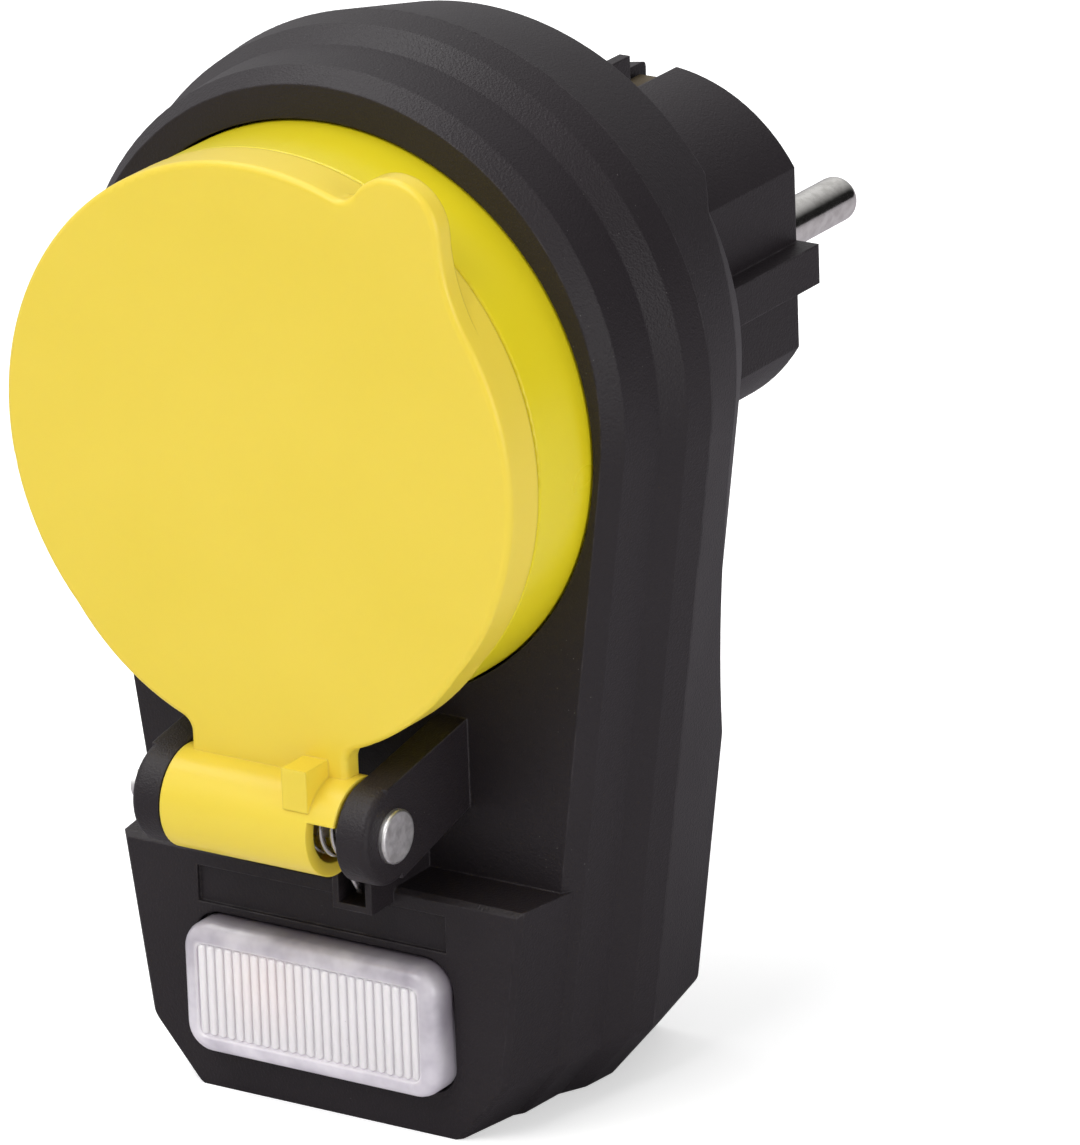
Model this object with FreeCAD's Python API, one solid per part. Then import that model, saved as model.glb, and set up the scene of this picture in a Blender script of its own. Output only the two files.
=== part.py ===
import FreeCAD, Part
import math
import os
from FreeCAD import Vector

# Outdoor plug-through socket with a sprung splash lid. Sizes in millimetres.
# The model is drawn about the socket axis and moved to its stand face on export.
# X runs to the right, Y runs back towards the plug, Z is up.

# Height of the socket axis above the stand face
AXIS_HEIGHT = 72.2
FOOT_Z = -AXIS_HEIGHT
FOOT_TRIM = 0.1

# Clearances: a shaft or screw in its hole, and round forms that only stand near each other
SHAFT_FIT = 0.05
ROUND_GAP = 0.3
SCREW_END_GAP = 0.3

# Overshoot of a cutting form, and the depth that a joined form is sunk into its carrier
OVER = 1.0
SINK = 0.5

# Outline of the housing: a dome with straight sides that narrow downwards
DOME_CENTRE_Z = 2.5
SIDE_TAPER = 7.85
CORNER_HEIGHT = 6.4
CORNER_RUN = 5.4
CORNER_ROUND = 1.6

# Stepped front: depth of each edge and the dome radius there
FACE_R = 30.7
LOWER_CHAMFER_Y = 2.1
LOWER_CHAMFER_R = 32.1
STEP_Y = 7.7
STEP_R = 32.5
UPPER_CHAMFER_Y = 10.6
UPPER_CHAMFER_R = 33.9
PARTING_Y = 14.5
PARTING_R = 34.3
WALL = 2.4
HOLLOW_EASE = 0.3

# Rear housing, drawn in towards its back
REAR_Y = 27.8
REAR_DRAW_IN = 2.8
REAR_EDGE_ROUND = 0.8

# Lower block with its ledge
BLOCK_FRONT_Y = -6.6
BLOCK_R = 30.3
BLOCK_WALL = 3.0
BLOCK_EDGE = 0.5
LEDGE_HEIGHT = 25.7
LEDGE_Z = FOOT_Z + LEDGE_HEIGHT

# Bare recess for a label, below the ledge
LABEL_HALF_WIDTH = 14.8
LABEL_DROP = 1.9
LABEL_HEIGHT = 3.9
LABEL_DEPTH = 0.45

# Indicator lens and the pocket that it sits in
LENS_HALF_WIDTH = 15.2
LENS_BOTTOM_HEIGHT = 4.8
LENS_HEIGHT = 14.0
LENS_CORNER = 3.0
LENS_LEAST_CORNER = 0.5
LENS_PROUD = 3.2
LENS_ROUND = 1.6
LENS_WALL = 1.6
LENS_FIELD_BORDER = 2.0
LENS_FIELD_DEPTH = 0.45
LENS_RIB_COUNT = 25
LENS_RIB_R = 0.42
LENS_RIB_END_GAP = 0.2
LENS_POCKET_DEPTH = 1.2
LENS_GASKET_T = 0.6
LENS_GASKET_WIDTH = 2.0
WINDOW_BORDER = 2.8
LENS_BOTTOM_Z = FOOT_Z + LENS_BOTTOM_HEIGHT
LENS_TOP_Z = LENS_BOTTOM_Z + LENS_HEIGHT

# Collar and the cup of the housing that carries it
COLLAR_R = 29.4
COLLAR_INNER_R = 27.0
COLLAR_FRONT_Y = -9.2
COLLAR_FLOOR_Y = 1.8
COLLAR_FLOOR_T = 3.0
COLLAR_ROUND = 0.4
COLLAR_GASKET_T = 0.8
COLLAR_GASKET_INSET = 0.2
CUP_R = 33.0
SHELF_T = 2.0
SHELF_INNER_R = 22.1

# Socket insert: the well that a plug enters
WELL_R = 19.5
WELL_DEPTH = 17.5
WELL_FRONT_Y = -8.7
INSERT_R = 21.75
INSERT_FLOOR_T = 2.5
INSERT_FLANGE_R = 27.4
INSERT_FLANGE_T = 2.0
WELL_FLAT_X = 16.4
RIB_SLOT_HALF_HEIGHT = 2.5
RIB_SLOT_X = 18.8
PIN_HOLE_R = 3.0
PIN_PITCH_HALF = 9.5
EARTH_SLOT_WIDTH = 6.2
EARTH_SLOT_IN_Z = 17.9
EARTH_SLOT_OUT_Z = 20.7
EARTH_SLOT_LIP = 1.0

# Screws
SCREW_R = 1.45
SCREW_HEAD_R = 2.2
SCREW_HEAD_T = 1.8
INSERT_SCREW_PCD_R = 25.2
INSERT_SCREW_DEPTH = 2.2
CROSS_WIDTH = 0.6
CROSS_LENGTH = 2.6
CROSS_DEPTH = 0.9

# Contact sleeves behind the well
SLEEVE_R = 3.4
SLEEVE_BORE_R = 2.45
SLEEVE_LENGTH = 17.0
SLEEVE_FLANGE_R = 4.4
SLEEVE_FLANGE_T = 1.0
SLEEVE_SLOT = 0.8
SLEEVE_SLOT_START = 2.8

# Flat strips
STRIP_T = 0.8
CLIP_WIDTH = 5.0
BUS_WIDTH = 6.0
BUS_Z = -6.6
EYE_TOP_Z = 4.4
SLEEVE_EYE_R = 4.7

# Plug body
PLUG_R = 18.5
PLUG_WALL = 2.6
PLUG_FACE_Y = 61.0
PLUG_FLAT_X = 15.8
PLUG_ROOT_LENGTH = 1.0
PLUG_FACE_ROUND = 0.6
GUIDE_X = 18.2
GUIDE_ROOT = 2.0
GUIDE_HEIGHT = 4.2
GUIDE_Z = -0.4
PLUG_FLANGE_R = 22.5
PLUG_FLANGE_T = 2.0
PLUG_SEAL_T = 0.8
PLUG_SEAL_INSET = 1.0
PLUG_LUG_R = 3.2
PLUG_LUG_PCD_R = 25.0
PLUG_SCREW_DEPTH = 1.6

# Plug pins: working length, undercut root, neck in the plug face, collar and inner shank
PIN_R = 2.4
PIN_LENGTH = 19.0
PIN_TIP_ROUND = 1.6
PIN_ROOT_R = 2.2
PIN_ROOT_T = 0.5
PIN_NECK_R = 2.8
PIN_COLLAR_R = 3.4
PIN_COLLAR_T = 1.5
PIN_SHANK_R = 2.0
PIN_SHANK = 8.5

# Earth contacts of the plug: one bent strip in two grooves
EARTH_STRIP_WIDTH = 3.4
EARTH_LEG_Z = 15.2
EARTH_OUT_Z = 17.0
EARTH_BULGE = 0.8
EARTH_FLAT = 6.0
EARTH_RAMP = 4.0
EARTH_SLOT_Y = 31.4
EARTH_SLOT_HALF = 0.8
EARTH_END_Y = 59.4
EARTH_CROSS_Y = 15.6
EARTH_GROOVE_FLOOR_Z = 16.5
EARTH_GROOVE_WIDTH = 4.0

# Earth clip of the socket
CLIP_LEG_Z = 19.9
CLIP_TIP_Z = 18.2
CLIP_BEND_Y = -1.5
CLIP_TIP_Y = -4.0
CLIP_END_Y = -6.6
EARTH_STUD_R = 2.0

# Housing screws and their bosses
UPPER_BOSS_X = 19.6
UPPER_BOSS_Z = 20.5
LOWER_BOSS_X = 20.4
LOWER_BOSS_HEIGHT = 28.2
BOSS_R = 2.7
REAR_BOSS_R = 4.2
BOSS_ROOT_Y = 1.0
HOUSING_SCREW_DEPTH = 6.0
HEAD_POCKET_R = 2.6
HEAD_POCKET_FLOOR = 19.4

# Cord in the parting line
GASKET_WIDTH = 1.0
GASKET_GROOVE = 0.8
GASKET_INSET = 0.7

# Finger recess on each side of the rear housing
RECESS_DEPTH_Y = 6.6
RECESS_DEEPEST_Z = -5.0
RECESS_LOW_Z = -39.8
RECESS_TURN_Z = 17.6
RECESS_TOP_Z = 20.6
RECESS_INSET_FRONT = 0.3
RECESS_INSET_BACK = 2.0
RECESS_LEAST_X = 20.0
RECESS_REACH = 40.0
LINING_INSET = 3.4

# Thin ribs on the rear face
REAR_RIB_X = 15.1
REAR_RIB_T = 1.2
REAR_RIB_TOP_Z = 29.6
REAR_RIB_HEIGHT = 6.5
REAR_RIB_DEPTH = 3.7

# Hinge
HINGE_Y = -13.6
HINGE_Z = -37.5
BARREL_R = 5.3
BARREL_HALF_LENGTH = 10.2
EAR_R = 5.1
EAR_THICKNESS = 3.4
EAR_GAP = 0.3
EAR_ROUND = 0.8
ARM_TOP_Z = -29.9
ARM_BOTTOM_Z = -39.2
HINGE_PIN_R = 1.5
HINGE_HEAD_R = 2.75
HINGE_HEAD_T = 0.7
HINGE_HEAD_ROUND = 0.3
RETAINER_R = 3.0
RETAINER_T = 0.8
HINGE_PIN_END = 1.6

# Box that holds the fixed leg of the spring
ANCHOR_LEFT_X = 4.2
ANCHOR_RIGHT_X = 8.8
ANCHOR_TOP_Z = -43.6
ANCHOR_BOTTOM_Z = -48.0
ANCHOR_FRONT_Y = -10.5
ANCHOR_WALL = 0.7

# Lid
LID_R = 29.5
LID_LOWER_R = 27.1
LID_LOWER_Z = -3.9
LID_FRONT_Y = -14.5
LID_RIM_Y = -9.5
LID_PLATE_T = 2.2
LID_RIM_T = 1.2
LID_ROUND = 0.7
LID_NECK_HALF_WIDTH = 9.2
LID_NECK_ROUND = 1.6
SEAL_RIB_R = 25.9
SEAL_RIB_T = 1.2
SEAL_RIB_END_Y = -10.2
SEAL_INNER_R = 26.2
SEAL_OUTER_R = 28.0

# Lifting tab: a round lobe that runs into the rim over a small and a large arc
TAB_ANGLE = 34.0
TAB_CENTRE_R = 30.4
TAB_R = 5.3
TAB_T = 2.3
TAB_SHORT_BLEND_R = 2.0
TAB_LONG_BLEND_R = 20.0

# Stop box on the lid for the moving leg of the spring
STOP_LEFT_X = 4.2
STOP_RIGHT_X = 7.1
STOP_FRONT_Y = -18.4
STOP_TOP_Z = -30.5
STOP_BOTTOM_Z = -34.8

# Hinge spring
WIRE_R = 0.35
COIL_R = 2.9
COIL_PITCH = 1.4
COIL_START_X = 5.9
COIL_START_ANGLE = 180.0
COIL_END_ANGLE = 942.0
COIL_STEP_ANGLE = 90.0
MOVING_LEG = 6.0
FIXED_LEG = 8.9
FIXED_LEG_BEND = 0.5
FIXED_LEG_END_X = 6.94
COIL_POCKET_R = 3.9
COIL_POCKET_X = 5.1
NOTCH_X = 7.1
NOTCH_START_ANGLE = 160.0
NOTCH_END_ANGLE = 300.0
NOTCH_REACH = 8.3
LEG_CHANNEL_HALF_WIDTH = 0.6
LEG_CHANNEL_EXTRA = 0.5

# Circuit board and what it carries
BOARD_FRONT_Y = 5.0
BOARD_T = 1.6
BOARD_HALF_WIDTH = 17.0
BOARD_CUP_GAP = 2.0
BOARD_BOTTOM_HEIGHT = 5.2
BOARD_CORNER = 4.0
BOARD_CORNER_RISE = 6.4
BOARD_SCREW_X = 15.0
BOARD_SCREW_TOP_Z = -38.5
BOARD_SCREW_BOTTOM_Z = -51.5
BOARD_POST_R = 2.4
BOARD_SCREW_DEPTH = 2.0
RELAY_X = -4.5
RELAY_LIFT = 1.0
RELAY_WIDTH = 15.3
RELAY_DEPTH = 10.2
RELAY_HEIGHT = 19.0
RELAY_ROUND = 0.6
CAPACITOR_X = -15.5
CAPACITOR_WIDTH = 9.0
CAPACITOR_DEPTH = 8.5
CAPACITOR_HEIGHT = 12.0
LAMP_X = -3.0
LAMP_Y = 1.2
LAMP_R = 2.4
LAMP_LENGTH = 11.0
LAMP_END_CHAMFER = 1.2
LEAD_R = 0.4
LEAD_INSET = 2.0
SENSOR_X = 9.0
SENSOR_R = 2.5
SENSOR_T = 2.6
BOARD_TAP_Z = -37.4
LIVE_TAP_Z = -44.2
TAB_LENGTH = 4.5
LIVE_BUS_Y = 14.6

# Values that follow from the sizes above
X_AXIS = Vector(1, 0, 0)
Y_AXIS = Vector(0, 1, 0)
Z_AXIS = Vector(0, 0, 1)
ORIGIN = Vector(0, 0, 0)
FACE_OFFSET_Y = -(HINGE_Y - BARREL_R + PLUG_FACE_Y + PIN_LENGTH) / 2.0
REAR_BACK_R = PARTING_R - REAR_DRAW_IN
SHELF_Y = COLLAR_FLOOR_Y + COLLAR_FLOOR_T + COLLAR_GASKET_T
SHELF_BACK_Y = SHELF_Y + SHELF_T
FLANGE_BACK_Y = SHELF_BACK_Y + INSERT_FLANGE_T
WELL_FLOOR_Y = WELL_FRONT_Y + WELL_DEPTH
INSERT_BACK_Y = WELL_FLOOR_Y + INSERT_FLOOR_T
REAR_WALL_Y = REAR_Y - WALL
PLUG_FLANGE_BACK_Y = REAR_WALL_Y - PLUG_SEAL_T
PLUG_FLANGE_FRONT_Y = PLUG_FLANGE_BACK_Y - PLUG_FLANGE_T
PIN_SEAT_Y = PLUG_FACE_Y - WALL
EAR_INNER_X = BARREL_HALF_LENGTH + EAR_GAP
EAR_OUTER_X = EAR_INNER_X + EAR_THICKNESS
BOARD_BACK_Y = BOARD_FRONT_Y + BOARD_T
BOARD_TOP_Z = -CUP_R - BOARD_CUP_GAP
BOARD_BOTTOM_Z = FOOT_Z + BOARD_BOTTOM_HEIGHT
CASE_BOTTOM_Z = BOARD_BOTTOM_Z + RELAY_LIFT
LAMP_Z = (LENS_BOTTOM_Z + LENS_TOP_Z) / 2.0
SLEEVE_EYE_Y = INSERT_BACK_Y + SLEEVE_FLANGE_T + STRIP_T / 2.0
PIN_EYE_Y = PIN_SEAT_Y - PIN_COLLAR_T - STRIP_T / 2.0
NEAR = 1e-4
WIDE = 200.0


def box(x0, x1, y0, y1, z0, z1):
    return Part.makeBox(x1 - x0, y1 - y0, z1 - z0, Vector(x0, y0, z0))


def rod_y(radius, y0, y1, x=0.0, z=0.0):
    return Part.makeCylinder(radius, y1 - y0, Vector(x, y0, z), Y_AXIS)


def rod_x(radius, x0, x1, y=HINGE_Y, z=HINGE_Z):
    return Part.makeCylinder(radius, x1 - x0, Vector(x0, y, z), X_AXIS)


def ring_y(outer, inner, y0, y1):
    return rod_y(outer, y0, y1).cut(rod_y(inner, y0 - OVER, y1 + OVER))


def prism_x(x0, x1, loop):
    """Straight bar along x with the section given as (y, z) points."""
    points = [Vector(x0, y, z) for y, z in loop]
    return Part.Face(Part.makePolygon(points + points[:1])).extrude(Vector(x1 - x0, 0, 0))


def prism_y(y0, y1, loop):
    """Straight plate along y with the outline given as (x, z) points."""
    points = [Vector(x, y0, z) for x, z in loop]
    return Part.Face(Part.makePolygon(points + points[:1])).extrude(Vector(0, y1 - y0, 0))


def upside_down(shape):
    return shape.mirror(ORIGIN, Z_AXIS)


def both_sides(value):
    return (-value, value)


def lies_at(low, high, value):
    return abs(low - value) < NEAR and abs(high - value) < NEAR


def edges_at_y(shape, y):
    return [e for e in shape.Edges if lies_at(e.BoundBox.YMin, e.BoundBox.YMax, y)]


def edges_at_x(shape, x):
    return [e for e in shape.Edges if lies_at(e.BoundBox.XMin, e.BoundBox.XMax, x)]


def rounded_corner(before, corner, after, radius):
    """Tangent points and middle point of the arc that rounds a corner."""
    to_before = (before - corner).normalize()
    to_after = (after - corner).normalize()
    half_angle = to_before.getAngle(to_after) / 2.0
    reach = radius / math.tan(half_angle)
    middle_line = (to_before + to_after).normalize()
    centre = corner + middle_line * (radius / math.sin(half_angle))
    middle = centre - middle_line * radius
    return corner + to_before * reach, middle, corner + to_after * reach


def outline(radius, y, inset=0.0):
    """Closed housing outline at depth y, drawn inside by the inset."""
    taper = math.radians(SIDE_TAPER)
    corner_z = FOOT_Z + CORNER_HEIGHT
    foot_z = FOOT_Z - FOOT_TRIM + inset
    r = radius - inset

    def half_width(z):
        return (r + (z - DOME_CENTRE_Z) * math.sin(taper)) / math.cos(taper)

    high = Vector(half_width(corner_z), y, corner_z)
    low = Vector(half_width(corner_z) - CORNER_RUN, y, foot_z)
    tangent = Vector(r * math.cos(taper), y, DOME_CENTRE_Z - r * math.sin(taper))
    arc_a = rounded_corner(tangent, high, low, CORNER_ROUND)
    arc_b = rounded_corner(high, low, Vector(0, y, foot_z), CORNER_ROUND)

    def mirrored(p):
        return Vector(-p.x, p.y, p.z)

    top = Vector(0, y, DOME_CENTRE_Z + r)
    edges = [Part.Arc(mirrored(tangent), top, tangent).toShape()]
    edges.append(Part.makeLine(tangent, arc_a[0]))
    edges.append(Part.Arc(*arc_a).toShape())
    edges.append(Part.makeLine(arc_a[2], arc_b[0]))
    edges.append(Part.Arc(*arc_b).toShape())
    edges.append(Part.makeLine(arc_b[2], mirrored(arc_b[2])))
    edges.append(Part.Arc(*[mirrored(p) for p in reversed(arc_b)]).toShape())
    edges.append(Part.makeLine(mirrored(arc_b[0]), mirrored(arc_a[2])))
    edges.append(Part.Arc(*[mirrored(p) for p in reversed(arc_a)]).toShape())
    edges.append(Part.makeLine(mirrored(arc_a[0]), mirrored(tangent)))
    return Part.Wire(edges)


def tiers(levels, inset=0.0):
    """Solid through the outlines at the given depths and dome radii."""
    return Part.makeLoft([outline(radius, y, inset) for y, radius in levels], True, True)


def below(shape, z):
    return shape.common(box(-WIDE, WIDE, -WIDE, WIDE, z - WIDE, z))


def above(shape, z):
    return shape.common(box(-WIDE, WIDE, -WIDE, WIDE, z, z + WIDE))


def strip(path, width, x=0.0):
    """Flat strip that follows a path of (y, z) points, centred at x."""
    points = [Vector(0, y, z) for y, z in path]
    normals = []
    for a, b in zip(points, points[1:]):
        d = (b - a).normalize()
        normals.append(Vector(0, -d.z, d.y))
    left = []
    right = []
    for i, p in enumerate(points):
        n0 = normals[max(i - 1, 0)]
        n1 = normals[min(i, len(normals) - 1)]
        mitre = (n0 + n1).normalize()
        reach = STRIP_T / 2.0 / mitre.dot(n1)
        left.append(p + mitre * reach)
        right.append(p - mitre * reach)
    loop = [(p.y, p.z) for p in left + right[::-1]]
    return prism_x(x - width / 2.0, x + width / 2.0, loop)


def screw(x, z, seat_y, depth):
    """Pan-head screw with a cross recess; its shank runs to smaller y."""
    top = seat_y + SCREW_HEAD_T
    shank = rod_y(SCREW_R, seat_y - depth, seat_y + SINK, x, z)
    head = rod_y(SCREW_HEAD_R, seat_y, top, x, z)
    head = head.makeChamfer(CROSS_WIDTH, edges_at_y(head, top))
    long = CROSS_LENGTH / 2.0
    thin = CROSS_WIDTH / 2.0
    slot_a = box(x - long, x + long, top - CROSS_DEPTH, top + OVER, z - thin, z + thin)
    slot_b = box(x - thin, x + thin, top - CROSS_DEPTH, top + OVER, z - long, z + long)
    return shank.fuse(head).cut(slot_a).cut(slot_b)


def screw_hole(x, z, y0, y1, gap=SHAFT_FIT):
    return rod_y(SCREW_R + gap, y0, y1, x, z)


def screw_group(places, seat_y, depth):
    return Part.makeCompound([screw(x, z, seat_y, depth) for x, z in places])


def insert_screw_places():
    r = INSERT_SCREW_PCD_R
    return [(r, 0.0), (0.0, r), (-r, 0.0), (0.0, -r)]


def plug_lug_places():
    r = PLUG_LUG_PCD_R
    return [(r, 0.0), (0.0, r), (-r, 0.0), (0.0, -r)]


def upper_boss_places():
    return [(x, UPPER_BOSS_Z) for x in both_sides(UPPER_BOSS_X)]


def lower_boss_places():
    return [(x, FOOT_Z + LOWER_BOSS_HEIGHT) for x in both_sides(LOWER_BOSS_X)]


def housing_screw_places():
    return upper_boss_places() + lower_boss_places()


def board_screw_places():
    heights = (BOARD_SCREW_TOP_Z, BOARD_SCREW_BOTTOM_Z)
    return [(x, z) for x in both_sides(BOARD_SCREW_X) for z in heights]


def tangent_from(point_y, point_z, radius, upper):
    """Point where a line from the root of the arm touches the knuckle."""
    dy = point_y - HINGE_Y
    dz = point_z - HINGE_Z
    distance = math.hypot(dy, dz)
    base = math.atan2(dz, dy)
    swing = math.acos(radius / distance)
    angle = base + swing if upper else base - swing
    return HINGE_Y + radius * math.cos(angle), HINGE_Z + radius * math.sin(angle)


def hinge_arm(side):
    """Knuckle with the arm that carries it, on one side of the barrel."""
    outer = side * EAR_OUTER_X
    x0, x1 = sorted((side * EAR_INNER_X, outer))
    knuckle = rod_x(EAR_R, x0, x1)
    knuckle = knuckle.makeFillet(EAR_ROUND, edges_at_x(knuckle, outer))
    root_y = LOWER_CHAMFER_Y
    loop = [tangent_from(0.0, ARM_TOP_Z, EAR_R, True), (0.0, ARM_TOP_Z)]
    loop += [(root_y, ARM_TOP_Z), (root_y, ARM_BOTTOM_Z)]
    loop += [(0.0, ARM_BOTTOM_Z), tangent_from(0.0, ARM_BOTTOM_Z, EAR_R, False)]
    loop.append((HINGE_Y, HINGE_Z))
    return knuckle.fuse(prism_x(x0, x1, loop))


def lens_block(y0, y1, border):
    """Rounded bar across the block, smaller than the lens by the border."""
    x = LENS_HALF_WIDTH - border
    shape = box(-x, x, y0, y1, LENS_BOTTOM_Z + border, LENS_TOP_Z - border)
    upright = [e for e in shape.Edges if e.BoundBox.YLength > (y1 - y0) / 2.0]
    return shape.makeFillet(max(LENS_CORNER - border, LENS_LEAST_CORNER), upright)


def front_levels():
    levels = [(0.0, FACE_R), (LOWER_CHAMFER_Y, LOWER_CHAMFER_R), (STEP_Y, STEP_R)]
    return levels + [(UPPER_CHAMFER_Y, UPPER_CHAMFER_R), (PARTING_Y, PARTING_R)]


def lower_block():
    """Block below the ledge with its front edges broken."""
    edge_y = BLOCK_FRONT_Y + BLOCK_EDGE
    levels = [(BLOCK_FRONT_Y, BLOCK_R - BLOCK_EDGE), (edge_y, BLOCK_R), (STEP_Y, STEP_R)]
    block = below(tiers(levels), LEDGE_Z)
    over_y = BLOCK_FRONT_Y - OVER
    loop = [(over_y, LEDGE_Z - BLOCK_EDGE - OVER), (edge_y + OVER, LEDGE_Z + OVER), (over_y, LEDGE_Z + OVER)]
    return block.cut(prism_x(-WIDE, WIDE, loop))


def front_hollow():
    """Room behind the face and in the block, around the cup for the collar."""
    levels = [(WALL, FACE_R - HOLLOW_EASE), (STEP_Y, STEP_R)]
    levels += [(UPPER_CHAMFER_Y, UPPER_CHAMFER_R), (PARTING_Y + OVER, PARTING_R)]
    hollow = tiers(levels, WALL).cut(rod_y(CUP_R, 0.0, SHELF_BACK_Y))
    block_levels = [(BLOCK_FRONT_Y + WALL, BLOCK_R), (WALL + OVER, BLOCK_R)]
    return hollow, below(tiers(block_levels, BLOCK_WALL), LEDGE_Z - WALL)


def spring_anchor():
    """Box on the block whose open top takes the fixed leg of the spring."""
    x0 = ANCHOR_LEFT_X
    x1 = ANCHOR_RIGHT_X
    body = box(x0, x1, ANCHOR_FRONT_Y, BOSS_ROOT_Y, ANCHOR_BOTTOM_Z, ANCHOR_TOP_Z)
    return body.cut(box(x0, x1, BLOCK_FRONT_Y + LABEL_DEPTH, BOSS_ROOT_Y, ANCHOR_BOTTOM_Z, LEDGE_Z))


def anchor_room():
    x0 = ANCHOR_LEFT_X + ANCHOR_WALL
    x1 = ANCHOR_RIGHT_X - ANCHOR_WALL
    return box(x0, x1, ANCHOR_FRONT_Y - OVER, BLOCK_FRONT_Y, ANCHOR_BOTTOM_Z + ANCHOR_WALL, ANCHOR_TOP_Z + OVER)


def front_housing():
    form = tiers(front_levels()).fuse(lower_block())
    body = form
    for hollow in front_hollow():
        body = body.cut(hollow)
    body = body.cut(rod_y(COLLAR_R + ROUND_GAP, -OVER, SHELF_Y))
    body = body.cut(rod_y(SHELF_INNER_R, 0.0, SHELF_BACK_Y + OVER))
    for x, z in insert_screw_places():
        body = body.cut(screw_hole(x, z, SHELF_Y - OVER, SHELF_BACK_Y + OVER))
    # Bosses for the housing screws and posts for the board
    for x, z in upper_boss_places():
        body = body.fuse(rod_y(BOSS_R, SHELF_Y, PARTING_Y, x, z))
    for x, z in lower_boss_places():
        body = body.fuse(rod_y(BOSS_R, BOSS_ROOT_Y, PARTING_Y, x, z))
    for x, z in board_screw_places():
        start = BOSS_ROOT_Y if z > LEDGE_Z else BLOCK_FRONT_Y + BOSS_ROOT_Y
        body = body.fuse(rod_y(BOARD_POST_R, start, BOARD_FRONT_Y, x, z))
    body = body.common(form)
    for x, z in housing_screw_places():
        body = body.cut(screw_hole(x, z, PARTING_Y - HOUSING_SCREW_DEPTH, PARTING_Y + OVER))
    for x, z in board_screw_places():
        body = body.cut(screw_hole(x, z, BOARD_FRONT_Y - BOARD_SCREW_DEPTH, BOARD_FRONT_Y + OVER))
    # Label recess, lens pocket and window
    w = LABEL_HALF_WIDTH
    label_top = LEDGE_Z - LABEL_DROP
    label_y = BLOCK_FRONT_Y + LABEL_DEPTH
    body = body.cut(box(-w, w, BLOCK_FRONT_Y - OVER, label_y, label_top - LABEL_HEIGHT, label_top))
    body = body.cut(lens_block(BLOCK_FRONT_Y - OVER, BLOCK_FRONT_Y + LENS_POCKET_DEPTH, -ROUND_GAP))
    body = body.cut(lens_block(BLOCK_FRONT_Y, BLOCK_FRONT_Y + WALL + OVER, WINDOW_BORDER))
    # Hinge arms and the box for the fixed leg of the spring
    for side in (-1, 1):
        body = body.fuse(hinge_arm(side))
    body = body.cut(rod_x(HINGE_PIN_R + SHAFT_FIT, -EAR_OUTER_X - OVER, EAR_OUTER_X + OVER))
    body = body.fuse(spring_anchor()).cut(anchor_room())
    body = body.cut(gasket_ring(0.0))
    return above(body, FOOT_Z).removeSplitter()


def gasket_ring(slack):
    """Cord that follows the parting line in the edge of the front housing."""
    y0 = PARTING_Y - GASKET_GROOVE
    outer = tiers([(y0, PARTING_R), (PARTING_Y, PARTING_R)], GASKET_INSET - slack)
    inner_levels = [(y0 - OVER, PARTING_R), (PARTING_Y + OVER, PARTING_R)]
    return outer.cut(tiers(inner_levels, GASKET_INSET + GASKET_WIDTH + slack))


def housing_gasket():
    return gasket_ring(-SHAFT_FIT)


def rear_radius(y):
    """Dome radius of the rear housing at depth y."""
    return PARTING_R - REAR_DRAW_IN * (y - PARTING_Y) / (REAR_Y - PARTING_Y)


def rear_form(y0, y1, inset0, inset1):
    """Part of the drawn-in rear form between two depths."""
    wires = [outline(rear_radius(y), y, inset) for y, inset in ((y0, inset0), (y1, inset1))]
    return Part.makeLoft(wires, True, True)


def finger_recess():
    """Crescent scoop along the rear edge of the right side."""
    front_y = REAR_Y - RECESS_DEPTH_Y
    half = RECESS_DEEPEST_Z - RECESS_LOW_Z
    sweep_r = (half ** 2 + RECESS_DEPTH_Y ** 2) / (2.0 * RECESS_DEPTH_Y)

    def edge_y(z):
        return front_y + sweep_r - math.sqrt(sweep_r ** 2 - (z - RECESS_DEEPEST_Z) ** 2)

    def point(y, z):
        return Vector(RECESS_LEAST_X, y, z)

    low = point(edge_y(RECESS_LOW_Z - OVER), RECESS_LOW_Z - OVER)
    turn = point(edge_y(RECESS_TURN_Z), RECESS_TURN_Z)
    rise = (RECESS_TOP_Z - RECESS_TURN_Z) / (REAR_Y - turn.y)
    top = point(REAR_Y + OVER, RECESS_TOP_Z + rise * OVER)
    corner = point(REAR_Y + OVER, low.z)
    edges = [Part.Arc(low, point(front_y, RECESS_DEEPEST_Z), turn).toShape()]
    edges += [Part.makeLine(turn, top), Part.makeLine(top, corner), Part.makeLine(corner, low)]
    crescent = Part.Face(Part.Wire(edges)).extrude(Vector(RECESS_REACH, 0, 0))
    slope = (RECESS_INSET_BACK - RECESS_INSET_FRONT) / RECESS_DEPTH_Y
    back_inset = RECESS_INSET_BACK + slope * 2.0 * OVER
    floor = rear_form(front_y - OVER, REAR_Y + 2.0 * OVER, RECESS_INSET_FRONT - slope * OVER, back_inset)
    return crescent.cut(floor)


def recess_lining():
    """Thicker wall behind the finger recesses."""
    y0 = REAR_Y - RECESS_DEPTH_Y - WALL
    y1 = REAR_Y - SINK
    ring = rear_form(y0, y1, SINK, SINK).cut(rear_form(y0 - OVER, y1 + OVER, LINING_INSET, LINING_INSET))
    return ring.common(box(-WIDE, WIDE, y0, y1, RECESS_LOW_Z - WALL, RECESS_TOP_Z + WALL))


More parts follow.
